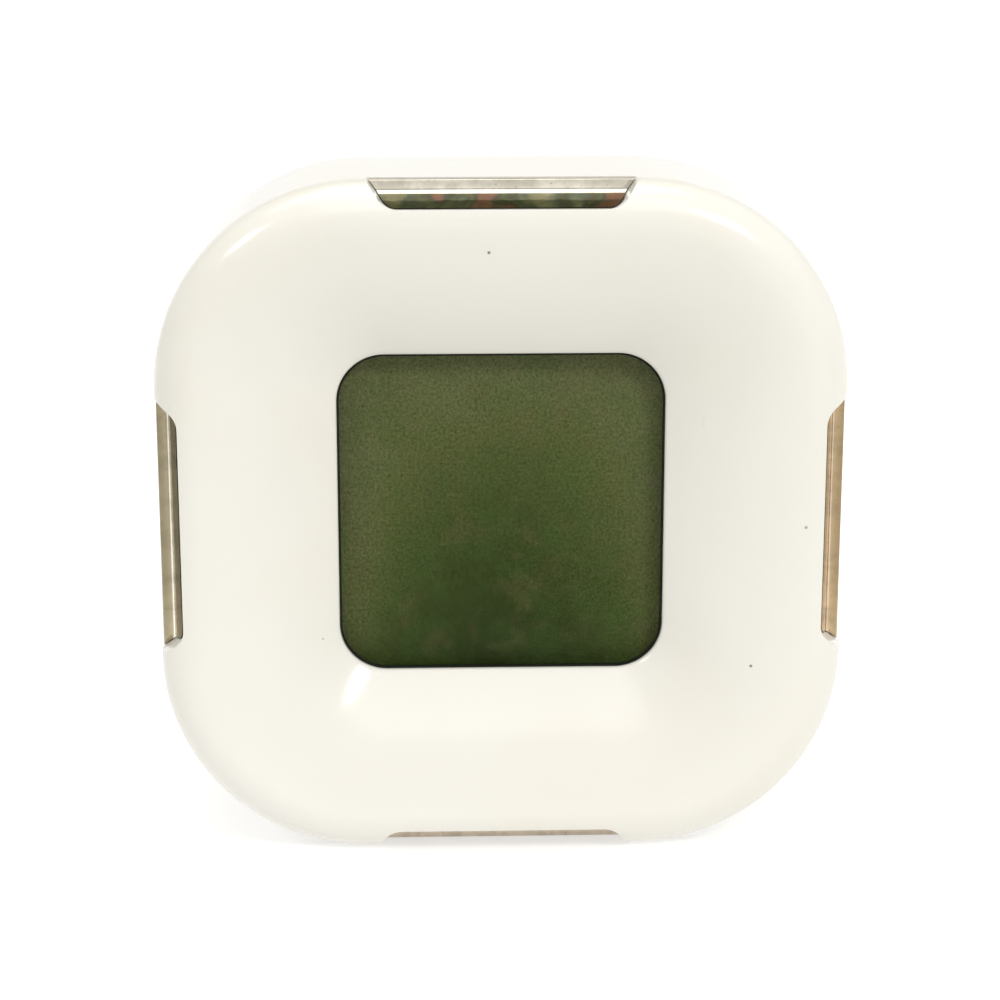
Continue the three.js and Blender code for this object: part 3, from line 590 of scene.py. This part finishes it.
# ---- Mirrored trims ----
# Four thin bars of chromed ABS that are pushed into the notches from the front before the shells close.
# Each has a wall that leans in towards the front and a ledge just behind the seam; the two meet in a
# small round, along which a bright line is painted as a highlight. What each side mirrors is painted
# into its colour as painted reflections.
sides = ["top", "right", "bottom", "left"]


def chrome(name, wall_reflection_tint, ledge_reflection_tint, round_highlight_tint, wall_reflection_share, haze):
    """Smoky vacuum-plated chrome with painted reflections: darker on the wall with mottled painted
    reflections, and a painted highlight in the round by the ledge.
    """
    shader = Shader(name, Metallic=1.0)
    # Mottled painted reflections of a dark, cluttered room, mixed into the wall's colour by its share.
    stops = [
        (0.36, (0.22, 0.09, 0.05)),
        (0.42, (0.03, 0.04, 0.02)),
        (0.47, (0.09, 0.12, 0.03)),
        (0.52, (0.05, 0.06, 0.03)),
        (0.57, (0.06, 0.11, 0.06)),
        (0.63, (0.26, 0.26, 0.15)),
    ]
    reflection_clouds = shader.noise(5.0, 2, 0.5, (-1, 0.5, 0.5), haze + 0.013)
    wall_reflections = shader.node("ValToRGB", {"stops": stops}, {0: reflection_clouds})
    wall_reflection_tint = shader.mix(wall_reflection_share, wall_reflection_tint, wall_reflections)
    depth = (shader.place.part(1) - seam.y) * 1000
    across, up = (abs((shader.place.part(axis) - seam[axis]) * 1000) for axis in (0, 2))
    outward = shader.node("Math", {"operation": "MAXIMUM"}, {0: across, 1: up})
    # Painted reflection: the ledge is lighter towards the round by the wall.
    shade = outward.ramp(trim_corner_z + 0.2, trim_ledge_z - 0.3)
    ledge = shader.mix(shade, [min(1.25 * c, 1) for c in ledge_reflection_tint], ledge_reflection_tint)
    color = shader.mix(depth.ramp(0.30, 0.60), wall_reflection_tint, ledge)
    # Painted highlight: a bright line along the round between the wall and the ledge.
    line = depth.ramp(0.25, 0.45) * (1 - depth.ramp(0.80, 0.89))
    color = shader.mix(line, color, round_highlight_tint)
    patches = shader.noise(2.6, 3, 0.6, shift=haze).ramp(0.40, 0.66)
    color = shader.mix(patches * 0.22, color, (0.10, 0.07, 0.03))
    pits = shader.noise(0.45, 2, 0.6, shift=haze).ramp(0.66, 0.74)
    color = shader.mix(pits * 0.5, color, (0.16, 0.12, 0.07))
    rubs = shader.noise(0.5, 3, 0.6, (0.15, 1, 1)).ramp(0.5, 0.9)
    wave = shader.noise(3.4, 2, 0.5, shift=haze)
    roughness = 0.07 + rubs * 0.08 + patches * 0.04
    return shader.done(Base_Color=color, Roughness=roughness, Normal=shader.bump(wave, 0.10, 0.5))


# For each side, the painted reflection on the wall and on the ledge, the painted highlight in the round
# between them, and how much mottled painted reflection the wall takes.
trim_painted_reflections = {
    "top": ((0.05, 0.05, 0.03), (0.68, 0.64, 0.55), (1.00, 0.98, 0.92), 0.8),
    "right": ((0.76, 0.69, 0.62), (0.47, 0.35, 0.21), (0.66, 0.55, 0.44), 0.05),
    "bottom": ((0.66, 0.58, 0.48), (0.60, 0.52, 0.42), (0.66, 0.58, 0.48), 0.05),
    "left": ((0.15, 0.12, 0.06), (0.38, 0.33, 0.22), (1.00, 0.96, 0.88), 0.35),
}
for quarter, side in enumerate(sides):
    edge_y = trim_front_y - 0.3 * trim_thickness
    section = rounded_corners(
        [
            (trim_front_y, trim_front_z),
            (trim_ledge_y, trim_corner_z),
            (trim_ledge_y, trim_ledge_z),
            (trim_back_y, trim_ledge_z),
            (trim_back_y, wall_back_z(trim_thickness, trim_back_y)),
            (edge_y, wall_back_z(trim_thickness, edge_y)),
        ],
        [0.08, 0.50, 0.12, 0, 0, 0],
    )
    trim = thing("trim_bar_" + side, loft([[Vector((x, y, z)) for y, z in section] for x in (-18, 18)]))
    combine(trim, [("INTERSECT", notch_prism(-0.15))])
    trim.data.transform(Matrix.Rotation(quarter * math.pi / 2, 4, "Y"))
    plating = chrome("chrome_" + side, *trim_painted_reflections[side], 0.3 * quarter)
    fit(trim, plating, "case", "mirror_trim", "trim_" + side, sharp=30)

# ---- Display ----
# A liquid crystal display behind a clear window. The window is moulded acrylic, glued into the collar
# from behind; a thin black ring hides the joint at the edge of the opening, and its near-black colour
# also stands for the shadow gap there, a painted shadow. With nothing on it the display shows only its
# olive polariser and the film behind the glass.
gasket_front, gasket_back = 3.55, 4.05
gasket_out, gasket_in = window_half - 0.05, window_half - 0.27


def gasket_ring(out, y):
    """The ring's corners keep one middle, so it is as wide there as along the sides."""
    return rounded_square(out, out - (window_corner - (gasket_out - out)), y)


ring_corners = [
    (gasket_out, gasket_front),
    (gasket_in, gasket_front),
    (gasket_in, gasket_back),
    (gasket_out, gasket_back),
]
ring_section = rounded_corners(ring_corners, [0.08, 0.12, 0.05, 0.05], 4)
gasket = thing("window_ring", loft([gasket_ring(out, y) for out, y in ring_section], True))
# Near-black: the ring's own colour, made darker still as a painted shadow for the gap at the window's
# edge.
shader = Shader("ring_rubber_and_gap_shadow", Specular_IOR_Level=0.15)
grain = shader.noise(0.3, 3)
color = shader.mix(grain, (0.003, 0.005, 0.003), (0.010, 0.014, 0.008))
rubber = shader.done(Base_Color=color, Roughness=0.35 + grain * 0.3, Normal=shader.bump(grain, 0.01))
fit(gasket, rubber, "case", "black_plastic", "display_gasket")

lens_half, lens_corner, lens_front = 20.7, 7.1, 4.1
lens_edge = 0.12
lens_rings = [
    (lens_half - lens_edge, lens_front),
    (lens_half, lens_front + lens_edge),
    (lens_half, lens_back - lens_edge),
    (lens_half - lens_edge, lens_back),
]
lens_straight = lens_half - lens_corner
lens = thing("window", loft([rounded_square(half, lens_straight, y) for half, y in lens_rings]))
shader = Shader("window_acrylic", Base_Color=(0.02, 0.022, 0.014, 1), IOR=1.49, Specular_IOR_Level=0.35)
smears = shader.noise(6, 4, 0.6, (1, 1, 0.5)).ramp(0.45, 0.75)
dust = shader.noise(0.35, 2, 0.6).ramp(0.74, 0.80)
acrylic = shader.done(Roughness=0.05 + smears * 0.10, Alpha=0.05 + smears * 0.02 + dust * 0.05)
fit(lens, acrylic, "case", "clear_plastic", "display_lens")


def repaint(material, *nodes):
    """Gives CAD nodes that keep their shape a finished material."""
    for name in nodes:
        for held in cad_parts[name].material_slots:
            held.material = material


# The polariser: a plastic sheet with the liquid crystal's cloudy olive and a fine coloured grain,
# darkest at the bottom. Its lightening towards the top is a painted reflection, and its lightening
# towards the left and right edges is painted light.
shader = Shader("olive_polariser", Specular_IOR_Level=0.05)
across, up = shader.place.part(0), shader.place.part(2)
# Painted reflection: the olive is lighter towards the top of the window.
height = (up - (seam.z - window_half / 1000)) / (2 * window_half / 1000)
# Painted light: lighter towards the left and right edges, most at the lower corners, where the case's
# shade falls.
edge = (abs(across) * 1000 / window_half) ** 2
cloud = shader.noise(11, 3, 0.6)
level = height + edge * (1.2 - height) * 0.7 + (cloud - 0.5) * 0.35 - 0.03
stops = [
    (0.00, (0.024, 0.039, 0.007)),
    (0.20, (0.034, 0.052, 0.010)),
    (0.40, (0.052, 0.074, 0.017)),
    (0.60, (0.092, 0.108, 0.034)),
    (0.80, (0.122, 0.135, 0.056)),
    (1.00, (0.190, 0.190, 0.095)),
]
color = shader.node("ValToRGB", {"stops": stops}, {0: level * 0.8})
blotch = shader.noise(4.5, 2, 0.6, shift=0.7)
color = shader.mix(blotch.ramp(0.40, 0.65) * 0.25, color, (0.052, 0.100, 0.022))
blotch = shader.noise(3.6, 2, 0.6, shift=1.9)
color = shader.mix(blotch.ramp(0.50, 0.72) * 0.25, color, (0.115, 0.095, 0.040))
grain = shader.noise(0.34, 2, 0.9)
color = shader.node("VectorMath", {"operation": "SCALE"}, {0: color, "Scale": grain * 2.1 - 0.08})
olive = shader.done(Base_Color=color, Roughness=0.42 + grain * 0.15)
repaint(olive, "front_polariser")

# Behind the polariser: two sheets of glass, a pale film, a clear light guide with a warm lamp at each
# side, and pink rubber strips that join the glass to the board inside a white frame. They are stacked
# loose, and the frame presses them against the window.


def clear_stock(name, tone, alpha):
    """Glass or clear plastic with greasy smears."""
    shader = Shader(name, IOR=1.5)
    smear = shader.noise(5, 4, 0.6)
    color = shader.mix(smear, tone, [c * 0.85 for c in tone])
    rough = 0.06 + smear.ramp(0.5, 0.8) * 0.15
    return shader.done(Base_Color=color, Roughness=rough, Alpha=alpha + smear * 0.08)


def matt_stock(name, dark, light, size, roughness, depth=0.01, stretch=(1, 1, 1), **constants):
    """A plain moulded, painted or pressed stock: grain between two tones, with the grain's relief."""
    shader = Shader(name, **constants)
    grain = shader.noise(size, 3, 0.6, stretch)
    broad = shader.noise(size * 12, 2)
    color = shader.mix(grain * 0.6 + broad * 0.4, dark, light)
    rough = roughness + grain * 0.15 + broad * 0.1
    return shader.done(Base_Color=color, Roughness=rough, Normal=shader.bump(grain, depth))


repaint(clear_stock("display_glass", (0.40, 0.45, 0.33), 0.45), "lcd_front_glass", "lcd_rear_glass")
repaint(clear_stock("guide_acrylic", (0.80, 0.86, 0.78), 0.25), "light_guide")
repaint(matt_stock("pearl_film", (0.24, 0.26, 0.16), (0.31, 0.33, 0.21), 0.3, 0.3), "reflector_film")
frame_plastic = matt_stock("frame_nylon", (0.78, 0.78, 0.74), (0.86, 0.86, 0.82), 0.4, 0.4)
repaint(frame_plastic, "lcd_frame")
pinks = ((0.62, 0.32, 0.31), (0.76, 0.44, 0.42))
strip_rubber = matt_stock("contact_rubber", *pinks, 0.25, 0.6, 0.02, (1, 0.1, 1))
repaint(strip_rubber, "contact_strip_upper", "contact_strip_lower")
lamp_resin = matt_stock("lamp_resin", (0.84, 0.72, 0.38), (0.92, 0.84, 0.62), 0.3, 0.25)
repaint(lamp_resin, "backlight_led_left", "backlight_led_right")

# ---- Circuit board ----
# A green glass-fibre board on four bosses, with the clock's chip under a black epoxy drop, its
# crystal, a capacitor, the bead that senses the temperature, a buzzer, and the little cup with a
# steel ball that tells which side is up. Everything on it is soldered.
shader = Shader("board_laminate", IOR=1.5, Coat_Weight=0.4, Coat_Roughness=0.15)
strands = {"Vector": shader.place, "Scale": 420.0, "Distortion": 0.6}
weave_x = shader.node("TexWave", {"bands_direction": "X"}, strands)
weave_z = shader.node("TexWave", {"bands_direction": "Z"}, strands)
weave = weave_x * weave_z
blocks = {"feature": "F1", "distance": "CHEBYCHEV"}
tracks = shader.node("TexVoronoi", blocks, {"Vector": shader.place, "Scale": 240.0})
color = shader.mix(weave, (0.018, 0.085, 0.030), (0.030, 0.125, 0.045))
color = shader.mix(tracks.ramp(0.42, 0.46) * 0.6, color, (0.055, 0.20, 0.06))
relief = shader.bump(tracks.ramp(0.40, 0.48), 0.03)
laminate = shader.done(Base_Color=color, Roughness=0.34 + weave * 0.1, Normal=relief)
repaint(laminate, "circuit_board")
epoxy = matt_stock("black_epoxy", (0.008, 0.008, 0.009), (0.020, 0.020, 0.021), 0.8, 0.25, 0.03)
repaint(epoxy, "chip_cover", "thermistor")
black_nylon = matt_stock("black_nylon", (0.012, 0.012, 0.013), (0.026, 0.026, 0.027), 0.3, 0.42)
switches = ["switch_body_" + use for use in button_xs]
repaint(black_nylon, "capacitor", "buzzer", "tilt_housing", "tilt_lid", *switches)
repaint(frame_plastic, *["switch_plunger_" + use for use in button_xs])


def bright_metal(name, tint, size=1.2, roughness=0.22):
    """Plated or polished metal with fine marks and dull patches."""
    shader = Shader(name, Metallic=1.0)
    marks = shader.noise(size * 0.2, 3, 0.6)
    dull = shader.noise(size * 3, 3, 0.6).ramp(0.45, 0.75)
    color = shader.mix(dull * 0.6, tint, [c * 0.72 for c in tint])
    rough = roughness + marks * 0.14 + dull * 0.12
    return shader.done(Base_Color=color, Roughness=rough, Normal=shader.bump(marks, 0.006))


repaint(bright_metal("crystal_can", (0.62, 0.62, 0.60)), "crystal")
repaint(bright_metal("ball_steel", (0.60, 0.61, 0.62), roughness=0.08), "tilt_ball")

# ---- Buttons ----
# Four round push buttons moulded in white ABS. Each is a cap with a low dome, a flange that stops
# it behind the back wall, and a stem that bears on the plunger of its switch, which pushes it back.
button_abs = glossy_abs("button_abs", [0.97 * c for c in case_white])
plunger_top = 17.85
stem_radius, stem_end = 1.5, plunger_top + 0.1
dome_edge = 0.42
for use, x in button_xs.items():
    top = back_y + 0.8
    flange_back = back_y - shell_wall - 0.1
    profile = [(0, stem_end), (stem_radius - 0.2, stem_end), (stem_radius, stem_end + 0.2)]
    profile += [(stem_radius, flange_back - 1)]
    profile += [(flange_radius - 0.1, flange_back - 1), (flange_radius, flange_back - 0.9)]
    profile += [(flange_radius, flange_back - 0.1), (flange_radius - 0.1, flange_back)]
    profile += [(button_radius, flange_back), (button_radius, top - 0.5)]
    for i in range(1, 9):
        angle = i / 8 * math.pi / 2
        out = button_radius - dome_edge * (1 - math.cos(angle))
        profile.append((out, top - 0.5 + 0.38 * math.sin(angle)))
    for i in range(1, 8):
        share = 1 - i / 8
        profile.append(((button_radius - dome_edge) * share, top - 0.12 * share**2))
    cap = thing("push_button_" + use, turned(profile + [(0, top)], x, button_z, 64))
    fit(cap, button_abs, "button_" + use, "casing", "button_" + use)

# ---- Cells and contacts ----
# Two AAA cells lie side by side, one each way round. Each is a steel can in a printed plastic jacket
# with its ends rolled over. Nickel-plated plates press on their ends, two of them through a
# coil spring; the plates at one end are soldered to the board by a black and a red lead.
cell_radius, cell_length, cell_y = 5.25, 44.5, 22.15
roll = 0.35
plate_x = bay_half_x - 0.15
plate_thickness = 0.4
plated = bright_metal("nickel_plate", (0.70, 0.68, 0.62))
can_steel = bright_metal("can_steel", (0.66, 0.67, 0.68), 1.6, roughness=0.16)


def jacket(name, body, band, turn):
    """A shrunk plastic sleeve over the can: a wide band of one colour and a narrow one at the nub."""
    shader = Shader(name, Coat_Weight=0.5, Coat_Roughness=0.12, Metallic=0.35)
    along = (shader.place.part(0) - turn * 0.0125) * turn * 1000
    color = shader.mix(along.ramp(-0.15, 0.15), body, band)
    stripe = abs(along - 0.6).ramp(0.35, 0.45)
    color = shader.mix(1 - stripe, color, (0.75, 0.74, 0.70))
    scuff = shader.noise(0.8, 4, 0.7, (0.3, 1, 1)).ramp(0.62, 0.80)
    color = shader.mix(scuff * 0.25, color, (0.55, 0.55, 0.55))
    crease = shader.noise(2.5, 3, 0.6, (0.4, 1, 1))
    return shader.done(Base_Color=color, Roughness=0.28 + scuff * 0.3, Normal=shader.bump(crease, 0.02))


def cell_profile():
    """Radius and distance along the cell, from its flat end to its nub, with rolled edges."""
    half = cell_length / 2
    shoulder = half - 1.1
    profile = [(0, -half), (3.9, -half), (4.1, -half + 0.25), (4.55, -half + 0.25)]
    for end, way in ((-half + roll, -1), (shoulder - roll, 1)):
        for i in range(9):
            angle = i / 8 * math.pi
            out = cell_radius - roll + way * roll * math.cos(angle)
            profile.append((out, end + way * roll * math.sin(angle)))
    profile += [(4.2, shoulder - 0.25), (3.4, shoulder - 0.1), (1.9, shoulder - 0.05)]
    profile += [(1.9, half - 0.25)]
    return profile + [(1.82, half - 0.08), (1.65, half), (0, half)]


jacket_blue, jacket_gold = (0.03, 0.10, 0.20), (0.50, 0.36, 0.12)
for which, turn in (("upper", -1), ("lower", 1)):
    cell = thing("cell_" + which, turned(cell_profile(), sides=72))
    cell.data.transform(Matrix.Rotation(-turn * math.pi / 2, 4, "Z"))
    shift = turn * (plate_x - 0.5 - cell_length / 2)
    cell.data.transform(Matrix.Translation((shift, cell_y, bay_z - turn * cell_offset)))
    for face in cell.data.polygons:
        out = math.hypot(face.center.y - cell_y, face.center.z - bay_z + turn * cell_offset)
        face.material_index = 0 if out > 4.5 else 1
    indices = [face.material_index for face in cell.data.polygons]
    sleeve = jacket("jacket_" + which, jacket_blue, jacket_gold, turn)
    fit(cell, (sleeve, can_steel), "case", "cell_jacket", "battery_" + which)
    cell.data.polygons.foreach_set("material_index", indices)


def wire(name, points, radius):
    """A round wire through points, with closed ends."""
    rings = []
    sides = 12
    side = Vector((1, 0, 0))
    for i, point in enumerate(points):
        ahead = (points[min(i + 1, len(points) - 1)] - points[max(i - 1, 0)]).normalized()
        side = (side - ahead * side.dot(ahead)).normalized()
        other = ahead.cross(side)
        angles = [2 * math.pi * n / sides for n in range(sides)]
        rings.append([point + radius * (side * math.cos(a) + other * math.sin(a)) for a in angles])
    return thing(name, loft(rings))


for name, turn, z in (("spring_negative", 1, cell_offset), ("spring_bridge", -1, -cell_offset)):
    points = []
    for i in range(145):
        share = i / 144
        angle = share * 6 * math.pi
        out = 3.4 - 1.2 * share
        along = plate_x - plate_thickness - 0.4 - 1.8 * share
        y = cell_y + turn * out * math.cos(angle)
        points.append(Vector((turn * along, y, bay_z + z + out * math.sin(angle))))
    coil = wire("coil_" + name.split("_")[1], points, 0.25)
    fit(coil, plated, "case", "steel", name)


def contact(name, low, high, z, dimples, turn, tab, node):
    """A pressed plate across X with rounded corners, a raised dimple for each nub and a solder tab."""
    corners = [(low, z[0]), (low, z[1]), (high, z[1]), (high, z[0])]
    outline = rounded_corners(corners, [0.8] * 4, 5)
    x0, x1 = sorted((turn * plate_x, turn * (plate_x - plate_thickness)))
    made = thing(name, loft([[Vector((x, p.x, p.y)) for p in outline] for x in (x0, x1)]))
    steps = []
    for at in dimples:
        dome = turned([(0, 0), (1.5, 0), (1.1, 0.06), (0.6, 0.09), (0, 0.1)], sides=24)
        bmesh.ops.rotate(dome, verts=dome.verts, matrix=Matrix.Rotation(turn * math.pi / 2, 3, "Z"))
        face_x = turn * (plate_x - plate_thickness)
        bmesh.ops.translate(dome, verts=dome.verts, vec=(face_x, cell_y, at))
        steps.append(("UNION", dome))
    if tab:
        tab_x = turn * (plate_x - plate_thickness / 2)
        steps.append(("UNION", plate(0.2, 1.1, bay_front - 1.2, bay_inside + 1, tab_x, tab, 0.1)))
    combine(made, steps)
    fit(made, plated, "case", "steel", node)


contact_low, contact_high = bay_inside + 0.8, cell_y + 4.2
contact_half = 4.3
upper_z, lower_z = bay_z + cell_offset, bay_z - cell_offset
for pole, middle, nubs in (("negative", upper_z, ()), ("positive", lower_z, (lower_z,))):
    span = (middle - contact_half, middle + contact_half)
    contact("contact_" + pole, contact_low, contact_high, span, nubs, 1, middle, "terminal_" + pole)
span = (lower_z - contact_half, upper_z + contact_half)
contact("contact_bridge", contact_low, contact_high, span, (upper_z,), -1, None, "bridge_terminal")
black_sleeve = matt_stock("black_sleeve", (0.010, 0.010, 0.010), (0.028, 0.028, 0.028), 0.5, 0.35)
red_sleeve = matt_stock("red_sleeve", (0.36, 0.020, 0.014), (0.48, 0.040, 0.026), 0.5, 0.35)
repaint(black_sleeve, "lead_black")
repaint(red_sleeve, "lead_red")

# ---- Battery door ----
# A flat lid of the same ABS, flush with the back. Two hooks on its upper edge turn in slots of the
# shell, and its lower edge is lifted with a fingertip at the scooped recess, beside five
# grooves. A strip of grey foam is stuck inside it to keep the cells from rattling.
door = thing("lid", plate(door_half_x, door_half_z, door_front, back_y, 0, bay_z, 1.35))
door_steps = []
hook_depth, hook_back = 1.8, hook_room_back - running_gap
for x in hook_xs:
    low = bay_z + door_half_z - hook_depth
    for high, back in ((bay_z + door_half_z - 0.3, door_front + 0.5), (hook_tip_z, hook_back)):
        middle, half = (high + low) / 2, (high - low) / 2
        hook = plate(hook_half, half, door_front - hook_depth, back, x, middle, 0.3)
        door_steps.append(("UNION", hook))
groove_pitch, groove_half, groove_depth = 1.25, 0.28, 0.3
for i in range(5):
    z = bay_z - door_half_z + 1.5 + groove_pitch * i
    groove = plate(6.4 - 0.5 * i, groove_half, back_y - groove_depth, back_y + 1, 0, z, 0.27)
    door_steps.append(("DIFFERENCE", groove))
combine(door, door_steps)
soften_edges(door, 0.12)
lid_abs = glossy_abs("lid_abs", [0.98 * c for c in case_white])
fit(door, lid_abs, "battery_door", "casing", "battery_door")

pad_half_x, pad_half_z, pad_z = 18, 6, bay_z - 1
pad_rings = []
for inset, y in ((0.25, 27.6), (0.08, 27.66), (0, 27.8), (0, 28.2), (0.08, 28.34), (0.25, 28.4)):
    half_x, half_z = pad_half_x - inset, pad_half_z - inset
    corners = [(sx * half_x, pad_z + sz * half_z) for sx, sz in corner_signs]
    ring = rounded_corners(corners, [1.2] * 4, 8)
    pad_rings.append([Vector((p.x, y, p.y)) for p in ring])
pad = thing("foam_strip", loft(pad_rings))
shader = Shader("grey_foam", Roughness=0.95, Specular_IOR_Level=0.2)
pores = shader.node("TexVoronoi", {"feature": "F1"}, {"Vector": shader.place, "Scale": 2600.0})
wear = shader.noise(3, 3)
color = shader.mix(pores.ramp(0.15, 0.55), (0.012, 0.012, 0.012), (0.055, 0.055, 0.056))
color = shader.mix(wear * 0.4, color, (0.035, 0.034, 0.034))
foam = shader.done(Base_Color=color, Normal=shader.bump(pores, 0.12))
fit(pad, foam, "battery_door", "foam", "battery_pad", sharp=60)

# ---- Screws ----
# Four zinc-plated pan-head screws hold the shells together from the back, sunk in the posts, and
# four smaller ones hold the circuit board to the front. All have a cross recess.
zinc = bright_metal("zinc_plate", (0.62, 0.63, 0.64))


def screw(name, node, head, height, shank, length, x, seat, z):
    """A pan-head screw along Y with its seat at one depth, and a cross recess in its head."""
    profile = [(0, -length), (shank * 0.25, -length), (shank, -length + shank * 1.5), (shank, 0.02)]
    profile += [(head - 0.1, 0.02), (head, 0.12), (head, height * 0.45)]
    for i in range(1, 9):
        angle = i / 8 * math.pi / 2
        out = head * (0.62 + 0.38 * math.cos(angle))
        profile.append((out, height * (0.45 + 0.52 * math.sin(angle))))
    made = thing(name, turned(profile + [(0, height)], sides=40))
    arms = []
    for half_x, half_z in ((head * 0.52, head * 0.13), (head * 0.13, head * 0.52)):
        arms.append(("DIFFERENCE", plate(half_x, half_z, height * 0.4, height + 1, 0, 0, head * 0.1)))
    combine(made, arms)
    made.data.transform(Matrix.Translation((x, seat, z)) @ Matrix.Rotation(0.4 * x + z, 4, "Y"))
    fit(made, zinc, "case", "steel", node, sharp=30)


board_back = 13.6
for i, (sx, sz) in enumerate(corner_signs, 1):
    case_screw = (2.5, 1.8, 1.3, 13, sx * post_at, screw_seat, sz * post_at)
    board_screw = (1.9, 1.2, 0.9, 6, sx * boss_x, board_back, boss_zs[sz])
    screw(f"case_fixing_{i}", f"case_screw_{i}", *case_screw)
    screw(f"board_fixing_{i}", f"board_screw_{i}", *board_screw)

# ---- Floor, light and camera ----
# A plain pale floor under soft light: a small lamp high at the front right, one at the left, and
# two broad ones above. The room is bright behind the clock, dimmer at the front left, and has
# something dark and mottled high up at the back, which the upper trim mirrors.
bpy.ops.mesh.primitive_plane_add(size=60, location=(0, 0, 0))
floor = bpy.context.object
floor.name = "floor"
shader = Shader("pale_floor", Roughness=0.9, Specular_IOR_Level=0.1, Emission_Strength=0.82)
shade = shader.noise(120, 2)
paint = shader.mix(shade, (0.56, 0.56, 0.55), (0.52, 0.52, 0.515))
# The floor shines less in front of the clock and at its left, up to a metre away.
back, front, left = shader.place.part(1), 0 - shader.place.part(1), 0 - shader.place.part(0)
glow = 0.18 + back.ramp(-0.13, -0.068) * 0.50 + back.ramp(0, 0.25) * 0.32
glow = glow + front.ramp(0.4, 1) * 0.8
glow = glow - left.ramp(0.08, 0.2) * (1 - left.ramp(0.4, 1)) * (1 - back.ramp(0, 0.1)) * 0.25
floor.data.materials.append(shader.done(Base_Color=paint, Emission_Color=glow))

room = Shader("bright_room", bpy.data.worlds.new("bright_room"), Strength=1.0)
bpy.context.scene.world = room.material
direction = room.place
dark_at = {0: direction, 1: Vector((0.0, 0.69, 0.73)).normalized()}
closeness = room.node("VectorMath", {"operation": "DOT_PRODUCT"}, dark_at, "Value")
dark = closeness.ramp(math.cos(math.radians(30)), math.cos(math.radians(17)))
patches = {"Vector": direction, "Scale": 55.0, "Detail": 3.0, "Roughness": 0.6}
mottle = room.node("TexNoise", {}, patches)
stops = [
    (0.30, (0.12, 0.13, 0.08)),
    (0.42, (0.30, 0.35, 0.17)),
    (0.47, (0.46, 0.30, 0.20)),
    (0.52, (0.33, 0.37, 0.22)),
    (0.58, (0.55, 0.57, 0.50)),
    (0.64, (0.90, 0.80, 0.52)),
    (0.72, (0.42, 0.62, 0.56)),
]
clutter = room.node("ValToRGB", {"stops": stops}, {0: mottle})
level = abs(direction.part(2)).ramp(0.12, 0.35)
sunny = (direction.part(1) + direction.part(0) * 0.5).ramp(-0.6, 0.4)
horizon = room.mix(sunny, (0.58, 0.58, 0.57), (1.02, 1.02, 1.02))
bright = room.mix(level, horizon, (0.52, 0.52, 0.52))
room.done(Color=room.mix(dark, bright, clutter))


def lamp(name, direction, distance, size, power, tone):
    """A soft square lamp that faces the clock."""
    light = bpy.data.lights.new(name, "AREA")
    light.shape = "SQUARE"
    light.size = size
    light.energy = power
    light.color = tone
    held = bpy.data.objects.new(name, light)
    direction = Vector(direction).normalized()
    held.location = seam + direction * distance
    held.rotation_euler = direction.to_track_quat("Z", "Y").to_euler()
    bpy.context.scene.collection.objects.link(held)


lamp("key_lamp", (0.46, -0.63, 0.62), 0.9, 0.19, 3.0, (1.0, 0.98, 0.93))
lamp("side_lamp", (-0.636, -0.443, 0.628), 1.0, 0.20, 1.5, (1.0, 0.99, 0.97))
lamp("front_lamp", (0.05, -0.62, 0.78), 1.0, 0.6, 1.5, (1.0, 0.995, 0.975))
lamp("top_lamp", (-0.1, 0.1, 1.0), 0.9, 0.7, 3.6, (1.0, 1.0, 0.99))

around, above, distance = math.radians(-1.82), math.radians(15.62), 0.315
flat = math.cos(above)
toward = Vector((math.sin(around) * flat, -math.cos(around) * flat, math.sin(above)))
camera = bpy.data.objects.new("camera", bpy.data.cameras.new("camera"))
camera.location = seam + toward * distance
camera.rotation_euler = toward.to_track_quat("Z", "Y").to_euler()
camera.data.lens = 97.2
camera.data.sensor_width = 36
camera.data.shift_x = -0.0021
camera.data.shift_y = 0.021
camera.data.clip_start = 0.01
camera.data.dof.use_dof = False
bpy.context.scene.collection.objects.link(camera)
bpy.context.scene.camera = camera
bpy.context.scene.view_settings.view_transform = "Standard"
